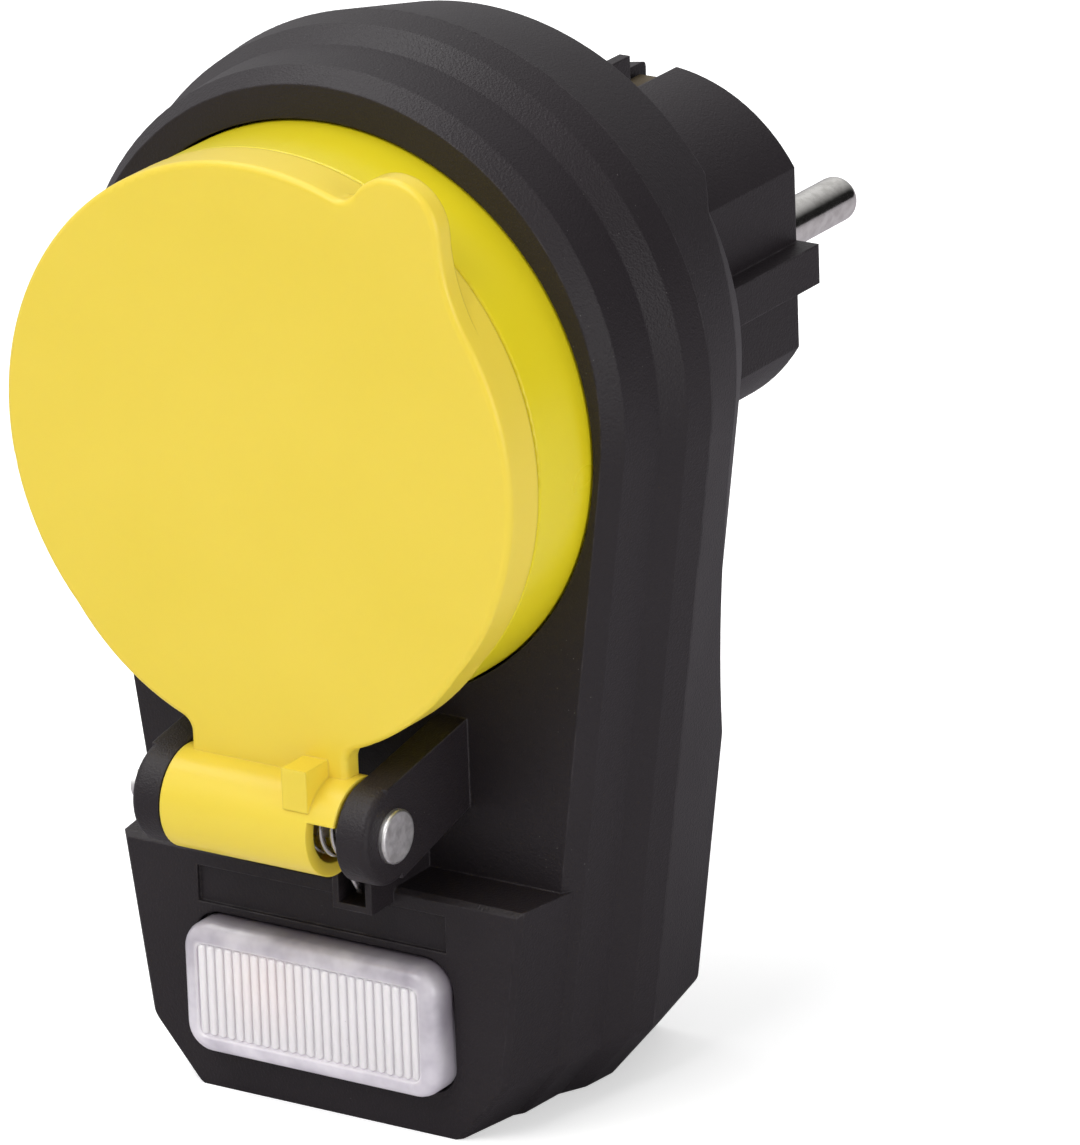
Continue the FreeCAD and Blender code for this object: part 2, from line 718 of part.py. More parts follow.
def rear_housing():
    shell = rear_form(PARTING_Y, REAR_Y, 0.0, 0.0)
    shell = shell.makeFillet(REAR_EDGE_ROUND, edges_at_y(shell, REAR_Y))
    body = shell.cut(rear_form(PARTING_Y - OVER, REAR_WALL_Y, WALL, WALL)).fuse(recess_lining())
    for x, z in housing_screw_places():
        body = body.fuse(rod_y(REAR_BOSS_R, PARTING_Y, REAR_WALL_Y + SINK, x, z))
    for x, z in plug_lug_places():
        body = body.fuse(rod_y(PLUG_LUG_R, PLUG_FLANGE_BACK_Y, REAR_WALL_Y + SINK, x, z))
    body = body.common(shell)
    recess = finger_recess()
    body = body.cut(recess).cut(recess.mirror(ORIGIN, X_AXIS))
    for x, z in housing_screw_places():
        body = body.cut(screw_hole(x, z, PARTING_Y - OVER, REAR_Y, ROUND_GAP))
        body = body.cut(rod_y(HEAD_POCKET_R, HEAD_POCKET_FLOOR, REAR_Y + OVER, x, z))
    for x, z in plug_lug_places():
        body = body.cut(screw_hole(x, z, PLUG_FLANGE_BACK_Y - OVER, PLUG_FLANGE_BACK_Y + PLUG_SCREW_DEPTH))
    body = body.cut(rod_y(PLUG_R + ROUND_GAP, REAR_WALL_Y - OVER, REAR_Y + OVER))
    for side in (-1, 1):
        x0, x1 = sorted((side * REAR_RIB_X, side * (REAR_RIB_X - REAR_RIB_T)))
        rib_z = REAR_RIB_TOP_Z - REAR_RIB_HEIGHT
        body = body.fuse(box(x0, x1, REAR_Y - SINK, REAR_Y + REAR_RIB_DEPTH, rib_z, REAR_RIB_TOP_Z))
    return above(body, FOOT_Z).removeSplitter()


def housing_screws():
    depth = HEAD_POCKET_FLOOR - PARTING_Y + HOUSING_SCREW_DEPTH - SCREW_END_GAP
    return screw_group(housing_screw_places(), HEAD_POCKET_FLOOR, depth)


def plug_section(radius, flat_x, y0, y1):
    return rod_y(radius, y0, y1).common(box(-flat_x, flat_x, y0, y1, -radius, radius))


def plug_flange():
    """Flange of the plug body with its four screw lugs."""
    y0 = PLUG_FLANGE_FRONT_Y
    y1 = PLUG_FLANGE_BACK_Y
    body = rod_y(PLUG_FLANGE_R, y0, y1)
    lug = rod_y(PLUG_LUG_R, y0, y1, PLUG_LUG_PCD_R)
    lug = lug.fuse(box(0.0, PLUG_LUG_PCD_R, y0, y1, -PLUG_LUG_R, PLUG_LUG_R))
    for i in range(len(plug_lug_places())):
        turned = lug.copy()
        turned.rotate(ORIGIN, Y_AXIS, 90.0 * i)
        body = body.fuse(turned)
    return body


def earth_groove():
    """Groove open to the plug face, with the slot that the strip comes through."""
    half = EARTH_GROOVE_WIDTH / 2.0
    start = EARTH_SLOT_Y - EARTH_SLOT_HALF
    groove = box(-half, half, start, PLUG_FACE_Y + OVER, EARTH_GROOVE_FLOOR_Z, PLUG_R + OVER)
    end = EARTH_SLOT_Y + EARTH_SLOT_HALF
    return groove.fuse(box(-half, half, start, end, EARTH_LEG_Z - OVER, EARTH_GROOVE_FLOOR_Z + OVER))


def plug_body():
    body = plug_section(PLUG_R, PLUG_FLAT_X, REAR_Y - OVER, PLUG_FACE_Y)
    body = body.makeFillet(PLUG_FACE_ROUND, edges_at_y(body, PLUG_FACE_Y))
    half = GUIDE_HEIGHT / 2.0
    for side in (-1, 1):
        x0, x1 = sorted((side * (PLUG_FLAT_X - GUIDE_ROOT), side * GUIDE_X))
        body = body.fuse(box(x0, x1, REAR_Y - OVER, PLUG_FACE_Y, GUIDE_Z - half, GUIDE_Z + half))
    body = body.fuse(rod_y(PLUG_R, PLUG_FLANGE_FRONT_Y, REAR_Y + PLUG_ROOT_LENGTH)).fuse(plug_flange())
    hollow_r = PLUG_R - PLUG_WALL
    body = body.cut(plug_section(hollow_r, PLUG_FLAT_X - PLUG_WALL, PLUG_FLANGE_FRONT_Y - OVER, PIN_SEAT_Y))
    for x, z in plug_lug_places():
        body = body.cut(screw_hole(x, z, PLUG_FLANGE_FRONT_Y - OVER, PLUG_FLANGE_BACK_Y + OVER))
    for x in both_sides(PIN_PITCH_HALF):
        body = body.cut(rod_y(PIN_NECK_R + SHAFT_FIT, PIN_SEAT_Y - OVER, PLUG_FACE_Y + OVER, x))
    groove = earth_groove()
    return body.cut(groove).cut(upside_down(groove)).removeSplitter()


def plug_seal():
    return ring_y(PLUG_FLANGE_R - PLUG_SEAL_INSET, PLUG_R + 2.0 * ROUND_GAP, PLUG_FLANGE_BACK_Y, REAR_WALL_Y)


def plug_screws():
    """Screws whose shanks run back into the rear wall."""
    depth = PLUG_FLANGE_T + PLUG_SCREW_DEPTH - SCREW_END_GAP
    return screw_group(plug_lug_places(), -PLUG_FLANGE_FRONT_Y, depth).mirror(ORIGIN, Y_AXIS)


def plug_pin(side):
    """Pin with an undercut root, a thicker neck in the plug face and a collar behind it."""
    x = side * PIN_PITCH_HALF
    tip_y = PLUG_FACE_Y + PIN_LENGTH
    pin = rod_y(PIN_R, PLUG_FACE_Y + PIN_ROOT_T, tip_y, x)
    pin = pin.makeFillet(PIN_TIP_ROUND, edges_at_y(pin, tip_y))
    collar_y = PIN_SEAT_Y - PIN_COLLAR_T
    pin = pin.fuse(rod_y(PIN_ROOT_R, PLUG_FACE_Y, PLUG_FACE_Y + PIN_ROOT_T, x))
    pin = pin.fuse(rod_y(PIN_NECK_R, PIN_SEAT_Y, PLUG_FACE_Y, x))
    pin = pin.fuse(rod_y(PIN_COLLAR_R, collar_y, PIN_SEAT_Y, x))
    return pin.fuse(rod_y(PIN_SHANK_R, collar_y - PIN_SHANK, collar_y, x))


def plug_earth_strip():
    """One strip with a sprung contact at the top and the bottom of the plug."""
    bulge_z = EARTH_OUT_Z + EARTH_BULGE
    rise_y = EARTH_SLOT_Y + EARTH_FLAT
    leg = [(EARTH_CROSS_Y, 0.0), (EARTH_CROSS_Y, EARTH_LEG_Z), (EARTH_SLOT_Y, EARTH_LEG_Z)]
    leg += [(EARTH_SLOT_Y, EARTH_OUT_Z), (rise_y, EARTH_OUT_Z), (rise_y + EARTH_RAMP, bulge_z)]
    leg += [(EARTH_END_Y - EARTH_FLAT - EARTH_RAMP, bulge_z), (EARTH_END_Y - EARTH_FLAT, EARTH_OUT_Z)]
    leg.append((EARTH_END_Y, EARTH_OUT_Z))
    upper = strip(leg, EARTH_STRIP_WIDTH)
    return upper.fuse(upside_down(upper)).removeSplitter()


def socket_collar():
    back = COLLAR_FLOOR_Y + COLLAR_FLOOR_T
    body = rod_y(COLLAR_R, COLLAR_FRONT_Y, back)
    body = body.cut(rod_y(COLLAR_INNER_R, COLLAR_FRONT_Y - OVER, COLLAR_FLOOR_Y))
    body = body.cut(rod_y(INSERT_R + ROUND_GAP, COLLAR_FRONT_Y, back + OVER))
    body = body.makeFillet(COLLAR_ROUND, edges_at_y(body, COLLAR_FRONT_Y))
    for x, z in insert_screw_places():
        body = body.cut(screw_hole(x, z, back - INSERT_SCREW_DEPTH, back + OVER))
    return body


def collar_gasket():
    y0 = COLLAR_FLOOR_Y + COLLAR_FLOOR_T
    body = ring_y(COLLAR_R - COLLAR_GASKET_INSET, SHELF_INNER_R + ROUND_GAP, y0, SHELF_Y)
    for x, z in insert_screw_places():
        body = body.cut(screw_hole(x, z, y0 - OVER, SHELF_Y + OVER, ROUND_GAP))
    return body


def socket_insert():
    body = rod_y(INSERT_R, WELL_FRONT_Y, INSERT_BACK_Y)
    body = body.fuse(rod_y(INSERT_FLANGE_R, SHELF_BACK_Y, FLANGE_BACK_Y))
    front = WELL_FRONT_Y - OVER
    well = rod_y(WELL_R, front, WELL_FLOOR_Y)
    flats = box(-WELL_FLAT_X, WELL_FLAT_X, front, WELL_FLOOR_Y, -WELL_R, WELL_R)
    slot_z = RIB_SLOT_HALF_HEIGHT
    ribs = box(-RIB_SLOT_X, RIB_SLOT_X, front, WELL_FLOOR_Y, -slot_z, slot_z)
    body = body.cut(well.common(flats.fuse(ribs)))
    half = EARTH_SLOT_WIDTH / 2.0
    lip_y = WELL_FRONT_Y + EARTH_SLOT_LIP
    groove = box(-half, half, lip_y, INSERT_BACK_Y + OVER, EARTH_SLOT_IN_Z, EARTH_SLOT_OUT_Z)
    body = body.cut(groove).cut(upside_down(groove))
    for x in both_sides(PIN_PITCH_HALF):
        body = body.cut(rod_y(PIN_HOLE_R, WELL_FLOOR_Y - OVER, INSERT_BACK_Y + OVER, x))
    for x, z in insert_screw_places():
        body = body.cut(screw_hole(x, z, SHELF_BACK_Y - OVER, FLANGE_BACK_Y + OVER, ROUND_GAP))
    # The flange clears the upper screw bosses
    for x, z in upper_boss_places():
        body = body.cut(rod_y(BOSS_R + ROUND_GAP, SHELF_BACK_Y - OVER, FLANGE_BACK_Y + OVER, x, z))
    return body.removeSplitter()


def insert_screws():
    depth = FLANGE_BACK_Y - (COLLAR_FLOOR_Y + COLLAR_FLOOR_T) + INSERT_SCREW_DEPTH - SCREW_END_GAP
    return screw_group(insert_screw_places(), FLANGE_BACK_Y, depth)


def contact(side):
    """Slotted spring sleeve with a flange that rests on the insert."""
    x = side * PIN_PITCH_HALF
    end = INSERT_BACK_Y + SLEEVE_LENGTH
    body = rod_y(SLEEVE_R, INSERT_BACK_Y, end, x)
    body = body.fuse(rod_y(SLEEVE_FLANGE_R, INSERT_BACK_Y, INSERT_BACK_Y + SLEEVE_FLANGE_T, x))
    body = body.cut(rod_y(SLEEVE_BORE_R, INSERT_BACK_Y - OVER, end + OVER, x))
    half = SLEEVE_SLOT / 2.0
    slot_y = INSERT_BACK_Y + SLEEVE_SLOT_START
    return body.cut(box(x - half, x + half, slot_y, end + OVER, 0.0, SLEEVE_R + OVER))


def socket_earth_clip():
    back = INSERT_BACK_Y + STRIP_T / 2.0
    leg = [(back, 0.0), (back, CLIP_LEG_Z), (CLIP_BEND_Y, CLIP_LEG_Z)]
    leg += [(CLIP_TIP_Y, CLIP_TIP_Z), (CLIP_END_Y, CLIP_LEG_Z)]
    upper = strip(leg, CLIP_WIDTH)
    return upper.fuse(upside_down(upper)).removeSplitter()


def earth_bridge():
    return rod_y(EARTH_STUD_R, INSERT_BACK_Y + STRIP_T, EARTH_CROSS_Y - STRIP_T / 2.0)


def sleeve_eye(x):
    """Disc of a busbar around a contact sleeve, still without its hole."""
    return rod_y(SLEEVE_EYE_R, SLEEVE_EYE_Y - STRIP_T / 2.0, SLEEVE_EYE_Y + STRIP_T / 2.0, x)


def sleeve_hole(x):
    return rod_y(SLEEVE_R + SHAFT_FIT, SLEEVE_EYE_Y - OVER, SLEEVE_EYE_Y + OVER, x)


def pin_hole(x):
    return rod_y(PIN_SHANK_R + SHAFT_FIT, PIN_EYE_Y - OVER, PIN_EYE_Y + OVER, x)


def board_tap(start_y, tap_z):
    """Path from a strip down to a tab that lies on the board."""
    tab_y = BOARD_BACK_Y + STRIP_T / 2.0
    return [(start_y, tap_z), (tab_y, tap_z), (tab_y, tap_z - TAB_LENGTH)]


def neutral_busbar():
    x = PIN_PITCH_HALF
    y0 = SLEEVE_EYE_Y
    through = strip([(y0, 0.0), (y0, BUS_Z), (PIN_EYE_Y, BUS_Z), (PIN_EYE_Y, EYE_TOP_Z)], BUS_WIDTH, x)
    branch = strip([(y0, BUS_Z + STRIP_T / 2.0)] + board_tap(y0, BOARD_TAP_Z), BUS_WIDTH, x)
    body = through.fuse(branch).fuse(sleeve_eye(x))
    return body.cut(pin_hole(x)).cut(sleeve_hole(x)).removeSplitter()


def switched_busbar():
    x = -PIN_PITCH_HALF
    body = strip([(SLEEVE_EYE_Y, 0.0)] + board_tap(SLEEVE_EYE_Y, BOARD_TAP_Z), BUS_WIDTH, x)
    return body.fuse(sleeve_eye(x)).cut(sleeve_hole(x)).removeSplitter()


def live_busbar():
    x = -PIN_PITCH_HALF
    path = [(PIN_EYE_Y, EYE_TOP_Z), (PIN_EYE_Y, BUS_Z), (LIVE_BUS_Y, BUS_Z)]
    body = strip(path + board_tap(LIVE_BUS_Y, LIVE_TAP_Z), BUS_WIDTH, x)
    return body.cut(pin_hole(x)).removeSplitter()


def lens_rib(x, y):
    """Upright rib whose front half stands out of the sunken field."""
    z0 = LENS_BOTTOM_Z + LENS_FIELD_BORDER + LENS_RIB_END_GAP
    z1 = LENS_TOP_Z - LENS_FIELD_BORDER - LENS_RIB_END_GAP
    return Part.makeCylinder(LENS_RIB_R, z1 - z0, Vector(x, y, z0), Z_AXIS)


def indicator_lens():
    front = BLOCK_FRONT_Y - LENS_PROUD
    back = BLOCK_FRONT_Y + LENS_POCKET_DEPTH - LENS_GASKET_T
    body = lens_block(front, back, 0.0)
    body = body.makeFillet(LENS_ROUND, edges_at_y(body, front))
    body = body.cut(lens_block(front + LENS_WALL, back + OVER, LENS_WALL))
    # Sunken field with its ribs
    field_y = front + LENS_FIELD_DEPTH
    body = body.cut(lens_block(front - OVER, field_y, LENS_FIELD_BORDER))
    field = LENS_HALF_WIDTH - LENS_FIELD_BORDER
    pitch = 2.0 * field / LENS_RIB_COUNT
    for i in range(LENS_RIB_COUNT):
        body = body.fuse(lens_rib(-field + (i + 0.5) * pitch, field_y))
    return body


def lens_gasket():
    y1 = BLOCK_FRONT_Y + LENS_POCKET_DEPTH
    y0 = y1 - LENS_GASKET_T
    return lens_block(y0, y1, 0.0).cut(lens_block(y0 - OVER, y1 + OVER, LENS_GASKET_WIDTH))


def lid_profile(y0, y1, inset=0.0):
    """Round lid, drawn out slightly towards the hinge."""
    main = rod_y(LID_R - inset, y0, y1)
    return main.fuse(rod_y(LID_LOWER_R - inset, y0, y1, 0.0, LID_LOWER_Z)).removeSplitter()


def tab_blend(blend_r, side, y0, y1):
    """Web between the rim and the tab, hollowed by an arc that touches both."""
    rim = LID_R + blend_r
    lobe = TAB_R + blend_r
    opening = math.acos((rim ** 2 + TAB_CENTRE_R ** 2 - lobe ** 2) / (2.0 * rim * TAB_CENTRE_R))
    tab_angle = math.radians(TAB_ANGLE)
    angle = tab_angle + side * opening
    tab = (TAB_CENTRE_R * math.sin(tab_angle), TAB_CENTRE_R * math.cos(tab_angle))
    arc = (rim * math.sin(angle), rim * math.cos(angle))
    return prism_y(y0, y1, [(0.0, 0.0), tab, arc]).cut(rod_y(blend_r, y0 - OVER, y1 + OVER, *arc))


def lifting_tab():
    y0 = LID_FRONT_Y
    y1 = LID_FRONT_Y + TAB_T
    angle = math.radians(TAB_ANGLE)
    body = rod_y(TAB_R, y0, y1, TAB_CENTRE_R * math.sin(angle), TAB_CENTRE_R * math.cos(angle))
    body = body.fuse(tab_blend(TAB_SHORT_BLEND_R, -1, y0, y1))
    body = body.fuse(tab_blend(TAB_LONG_BLEND_R, 1, y0, y1))
    return body.cut(rod_y(LID_R - LID_RIM_T, y0 - OVER, y1 + OVER))


def lid():
    plate_back = LID_FRONT_Y + LID_PLATE_T
    body = lid_profile(LID_FRONT_Y, LID_RIM_Y)
    w = LID_NECK_HALF_WIDTH
    body = body.fuse(box(-w, w, LID_FRONT_Y, plate_back, HINGE_Z, LID_LOWER_Z)).removeSplitter()
    body = round_neck(body).fuse(lifting_tab()).removeSplitter()
    front = [e for e in edges_at_y(body, LID_FRONT_Y) if e.BoundBox.ZMax > HINGE_Z + NEAR]
    body = body.makeFillet(LID_ROUND, front)
    body = body.cut(lid_profile(plate_back, LID_RIM_Y + OVER, LID_RIM_T))
    # Rib that keeps the seal in place
    body = body.fuse(ring_y(SEAL_RIB_R, SEAL_RIB_R - SEAL_RIB_T, plate_back - SINK, SEAL_RIB_END_Y))
    # Barrel, stop box and the room for the spring
    body = body.fuse(rod_x(BARREL_R, -BARREL_HALF_LENGTH, BARREL_HALF_LENGTH))
    body = body.fuse(box(STOP_LEFT_X, STOP_RIGHT_X, STOP_FRONT_Y, plate_back, STOP_BOTTOM_Z, STOP_TOP_Z))
    end = BARREL_HALF_LENGTH + OVER
    body = body.cut(rod_x(HINGE_PIN_R + SHAFT_FIT, -end, end))
    body = body.cut(rod_x(COIL_POCKET_R, COIL_POCKET_X, end)).cut(spring_notch()).cut(leg_channel())
    return body.removeSplitter()


def round_neck(body):
    """Round the two corners where the neck leaves the round plate."""
    edges = []
    for edge in edges_at_x(body, LID_NECK_HALF_WIDTH) + edges_at_x(body, -LID_NECK_HALF_WIDTH):
        if edge.BoundBox.ZLength < NEAR and edge.BoundBox.ZMin > HINGE_Z + OVER:
            edges.append(edge)
    return body.makeFillet(LID_NECK_ROUND, edges)


def leg_channel():
    """Channel in the stop box for the moving leg of the spring."""
    half = LEG_CHANNEL_HALF_WIDTH
    leg_y = HINGE_Y - COIL_R
    left = COIL_START_X - half - LEG_CHANNEL_EXTRA
    return box(left, COIL_START_X + half, leg_y - half, leg_y + half, HINGE_Z, HINGE_Z + MOVING_LEG + ROUND_GAP)


def spring_notch():
    """Sector of the barrel end that the fixed leg sweeps through."""
    start = math.radians(NOTCH_START_ANGLE)
    end = math.radians(NOTCH_END_ANGLE)
    loop = [(HINGE_Y, HINGE_Z)]
    for angle, reach in ((start, NOTCH_REACH), ((start + end) / 2.0, 2.0 * NOTCH_REACH), (end, NOTCH_REACH)):
        loop.append((HINGE_Y + reach * math.cos(angle), HINGE_Z + reach * math.sin(angle)))
    return prism_x(NOTCH_X, NOTCH_X + BARREL_HALF_LENGTH, loop)


def lid_seal():
    return ring_y(SEAL_OUTER_R, SEAL_INNER_R, LID_FRONT_Y + LID_PLATE_T, COLLAR_FRONT_Y)


def hinge_pin():
    face_x = EAR_OUTER_X + HINGE_HEAD_T
    shank = rod_x(HINGE_PIN_R, -EAR_OUTER_X - RETAINER_T - HINGE_PIN_END, EAR_OUTER_X)
    head = rod_x(HINGE_HEAD_R, EAR_OUTER_X, face_x)
    return shank.fuse(head.makeFillet(HINGE_HEAD_ROUND, edges_at_x(head, face_x)))


def pin_retainer():
    body = rod_x(RETAINER_R, -EAR_OUTER_X - RETAINER_T, -EAR_OUTER_X)
    return body.cut(rod_x(HINGE_PIN_R + SHAFT_FIT, -EAR_OUTER_X - RETAINER_T - OVER, -EAR_OUTER_X + OVER))


def coil_point(angle):
    turns = (angle - COIL_START_ANGLE) / 360.0
    a = math.radians(angle)
    x = COIL_START_X + turns * COIL_PITCH
    return Vector(x, HINGE_Y + COIL_R * math.cos(a), HINGE_Z + COIL_R * math.sin(a))


def coil_tangent(angle):
    a = math.radians(angle)
    rise = COIL_PITCH / (2.0 * math.pi)
    return Vector(rise, -COIL_R * math.sin(a), COIL_R * math.cos(a)).normalize()


def tangent_arc(start, tangent, end):
    """Arc from start along the tangent to end."""
    chord = end - start
    along = Vector(chord).normalize()
    side = (tangent - along * tangent.dot(along)).normalize()
    angle = tangent.getAngle(along)
    middle = start + chord * 0.5 + side * (chord.Length / 2.0 * math.tan(angle / 2.0))
    return Part.Arc(start, middle, end).toShape()


def biarc(p0, t0, p1, t1):
    """Two arcs with equal reach that join two points with given tangents."""
    v = p1 - p0
    t = t0 + t1
    denominator = 2.0 * (1.0 - t0.dot(t1))
    root = math.sqrt(v.dot(t) ** 2 + denominator * v.dot(v))
    reach = (root - v.dot(t)) / denominator
    joint = (p0 + p1 + (t0 - t1) * reach) * 0.5
    first = tangent_arc(p0, t0, joint)
    back = tangent_arc(p1, t1 * -1.0, joint)
    middle = back.valueAt((back.FirstParameter + back.LastParameter) / 2.0)
    return [first, Part.Arc(joint, middle, p1).toShape()]


def spring_path():
    start = coil_point(COIL_START_ANGLE)
    into = coil_tangent(COIL_START_ANGLE)
    edges = [Part.makeLine(start - into * MOVING_LEG, start)]
    angle = COIL_START_ANGLE
    while angle < COIL_END_ANGLE:
        after = min(angle + COIL_STEP_ANGLE, COIL_END_ANGLE)
        edges += biarc(coil_point(angle), coil_tangent(angle), coil_point(after), coil_tangent(after))
        angle = after
    # The fixed leg bends gently sideways before it runs straight
    end = coil_point(COIL_END_ANGLE)
    leave = coil_tangent(COIL_END_ANGLE)
    slope = (FIXED_LEG_END_X - end.x) / FIXED_LEG
    away = Vector(slope, leave.y, leave.z).normalize()
    bend = end + (leave + away) * FIXED_LEG_BEND
    edges.append(tangent_arc(end, leave, bend))
    edges.append(Part.makeLine(bend, bend + away * (FIXED_LEG - 2.0 * FIXED_LEG_BEND)))
    return Part.Wire(edges)


def hinge_spring():
    path = spring_path()
    start = path.Edges[0].valueAt(path.Edges[0].FirstParameter)
    ring = Part.Wire(Part.makeCircle(WIRE_R, start, coil_tangent(COIL_START_ANGLE)))
    body = path.makePipeShell([ring], True, False)
    print("spring gap to itself mm", round(spring_gap(path), 3))
    return Part.Solid(Part.Shell(body.Faces))


def spring_gap(path):
    """Least free distance between parts of the wire that are not neighbours."""
    points = []
    travelled = []
    total = 0.0
    for edge in path.Edges:
        for p in edge.discretize(max(4, int(edge.Length / (WIRE_R / 2.0)))):
            step = (p - points[-1]).Length if points else 0.0
            if points and step < NEAR:
                continue
            total += step
            points.append(p)
            travelled.append(total)
    least = WIDE
    for i, p in enumerate(points):
        for j in range(i + 1, len(points)):
            if travelled[j] - travelled[i] > 4.0 * COIL_R:
                least = min(least, (p - points[j]).Length)
    return least - 2.0 * WIRE_R


def circuit_board():
    w = BOARD_HALF_WIDTH
    low = BOARD_BOTTOM_Z
    rise = BOARD_BOTTOM_Z + BOARD_CORNER_RISE
    inner = w - BOARD_CORNER
    loop = [(-w, BOARD_TOP_Z), (w, BOARD_TOP_Z), (w, rise), (inner, low), (-inner, low), (-w, rise)]
    board = prism_y(BOARD_FRONT_Y, BOARD_BACK_Y, loop)
    for x, z in board_screw_places():
        board = board.cut(screw_hole(x, z, BOARD_FRONT_Y - OVER, BOARD_BACK_Y + OVER, ROUND_GAP))
    return board


def board_screws():
    return screw_group(board_screw_places(), BOARD_BACK_Y, BOARD_T + BOARD_SCREW_DEPTH - SCREW_END_GAP)


def relay():
    back = BOARD_BACK_Y + RELAY_DEPTH
    top = CASE_BOTTOM_Z + RELAY_HEIGHT
    body = box(RELAY_X, RELAY_X + RELAY_WIDTH, BOARD_BACK_Y, back, CASE_BOTTOM_Z, top)
    return body.makeFillet(RELAY_ROUND, [e for e in body.Edges if e.BoundBox.YMax > BOARD_BACK_Y + OVER])


def capacitor():
    back = BOARD_BACK_Y + CAPACITOR_DEPTH
    top = CASE_BOTTOM_Z + CAPACITOR_HEIGHT
    return box(CAPACITOR_X, CAPACITOR_X + CAPACITOR_WIDTH, BOARD_BACK_Y, back, CASE_BOTTOM_Z, top)


def indicator_lamp():
    half = LAMP_LENGTH / 2.0
    body = rod_x(LAMP_R, LAMP_X - half, LAMP_X + half, LAMP_Y, LAMP_Z)
    for end in both_sides(half):
        body = body.makeChamfer(LAMP_END_CHAMFER, edges_at_x(body, LAMP_X + end))
    for lead_x in both_sides(half - LEAD_INSET):
        body = body.fuse(rod_y(LEAD_R, LAMP_Y, BOARD_FRONT_Y, LAMP_X + lead_x, LAMP_Z))
    return body


def light_sensor():
    return rod_y(SENSOR_R, BOARD_FRONT_Y - SENSOR_T, BOARD_FRONT_Y, SENSOR_X, LAMP_Z)


def place(shape):
    moved = shape.copy()
    moved.translate(Vector(0, FACE_OFFSET_Y, AXIS_HEIGHT))
    return moved


def main():
    nodes = {
        "front_housing": front_housing(),
        "rear_housing": rear_housing(),
        "housing_gasket": housing_gasket(),
        "housing_screws": housing_screws(),
        "plug_body": plug_body(),
        "plug_seal": plug_seal(),
        "plug_screws": plug_screws(),
        "left_plug_pin": plug_pin(-1),
        "right_plug_pin": plug_pin(1),
        "plug_earth_strip": plug_earth_strip(),
        "socket_collar": socket_collar(),
        "collar_gasket": collar_gasket(),
        "socket_insert": socket_insert(),
        "insert_screws": insert_screws(),
        "left_contact": contact(-1),
        "right_contact": contact(1),
        "socket_earth_clip": socket_earth_clip(),
        "earth_bridge": earth_bridge(),
        "live_busbar": live_busbar(),
        "switched_busbar": switched_busbar(),
        "neutral_busbar": neutral_busbar(),
        "indicator_lens": indicator_lens(),
        "lens_gasket": lens_gasket(),
        "circuit_board": circuit_board(),
        "board_screws": board_screws(),
        "relay": relay(),
        "capacitor": capacitor(),
        "indicator_lamp": indicator_lamp(),
        "light_sensor": light_sensor(),
        "lid": lid(),
        "lid_seal": lid_seal(),
        "hinge_pin": hinge_pin(),
        "pin_retainer": pin_retainer(),
        "hinge_spring": hinge_spring(),
    }
    os.makedirs("parts", exist_ok=True)
    for name, shape in nodes.items():
        placed = place(shape)
        b = placed.BoundBox
        extents = [round(v, 2) for v in (b.XMin, b.XMax, b.YMin, b.YMax, b.ZMin, b.ZMax)]
        print(name, placed.isValid(), len(placed.Solids), round(placed.Volume, 1), extents)
        placed.exportStep("parts/" + name + ".step")


main()
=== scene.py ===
"""Looks of an outdoor plug-through socket with a sprung lid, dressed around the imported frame."""

import logging
import math
from dataclasses import dataclass, replace
from enum import Enum
from typing import Callable, ClassVar, Dict, List, Optional, Tuple

import bmesh
import bpy
from mathutils import Matrix, Vector


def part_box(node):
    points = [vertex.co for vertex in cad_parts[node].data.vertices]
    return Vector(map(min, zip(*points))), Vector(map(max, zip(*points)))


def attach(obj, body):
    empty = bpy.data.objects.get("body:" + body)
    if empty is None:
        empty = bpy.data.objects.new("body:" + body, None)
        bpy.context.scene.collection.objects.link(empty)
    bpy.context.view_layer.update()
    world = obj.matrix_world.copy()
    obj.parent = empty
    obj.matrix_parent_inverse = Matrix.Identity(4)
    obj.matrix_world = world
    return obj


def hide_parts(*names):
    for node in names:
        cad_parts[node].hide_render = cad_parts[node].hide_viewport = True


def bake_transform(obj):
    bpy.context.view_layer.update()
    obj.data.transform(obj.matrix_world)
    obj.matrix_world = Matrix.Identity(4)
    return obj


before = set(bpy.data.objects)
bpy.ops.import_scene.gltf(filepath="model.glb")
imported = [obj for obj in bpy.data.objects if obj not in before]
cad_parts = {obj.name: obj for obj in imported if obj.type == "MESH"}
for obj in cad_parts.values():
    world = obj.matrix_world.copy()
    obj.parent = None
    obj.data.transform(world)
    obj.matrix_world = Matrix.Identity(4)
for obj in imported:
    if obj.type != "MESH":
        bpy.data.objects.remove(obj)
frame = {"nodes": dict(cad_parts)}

LOG = logging.getLogger("outdoor_socket")
MM = 0.001
AXIS_HEIGHT = 72.2
FACE_SHIFT = -30.55
PHOTO_HEIGHT = 1145
SENSOR = 36.0
MERGE_DISTANCE = 0.000002
QUARTER_TURN = math.radians(90.0)

NODE_STEP = (190, 60)
NODE_ROWS = 3
# Places of the factor and the two values among a mix node's inputs
NUMBER_MIX = (0, 2, 3)
COLOUR_MIX = (0, 6, 7)
FALLING = (1.0, 0.0)
NUMBER = "NodeSocketFloat"
VECTOR = "NodeSocketVector"

Node = bpy.types.Node
Socket = bpy.types.NodeSocket
Sockets = bpy.types.bpy_prop_collection
Material = bpy.types.Material
Nodes = Dict[str, bpy.types.Object]
Pair = Tuple[float, float]
Rgb = Tuple[float, float, float]
Point = Tuple[float, float, float]


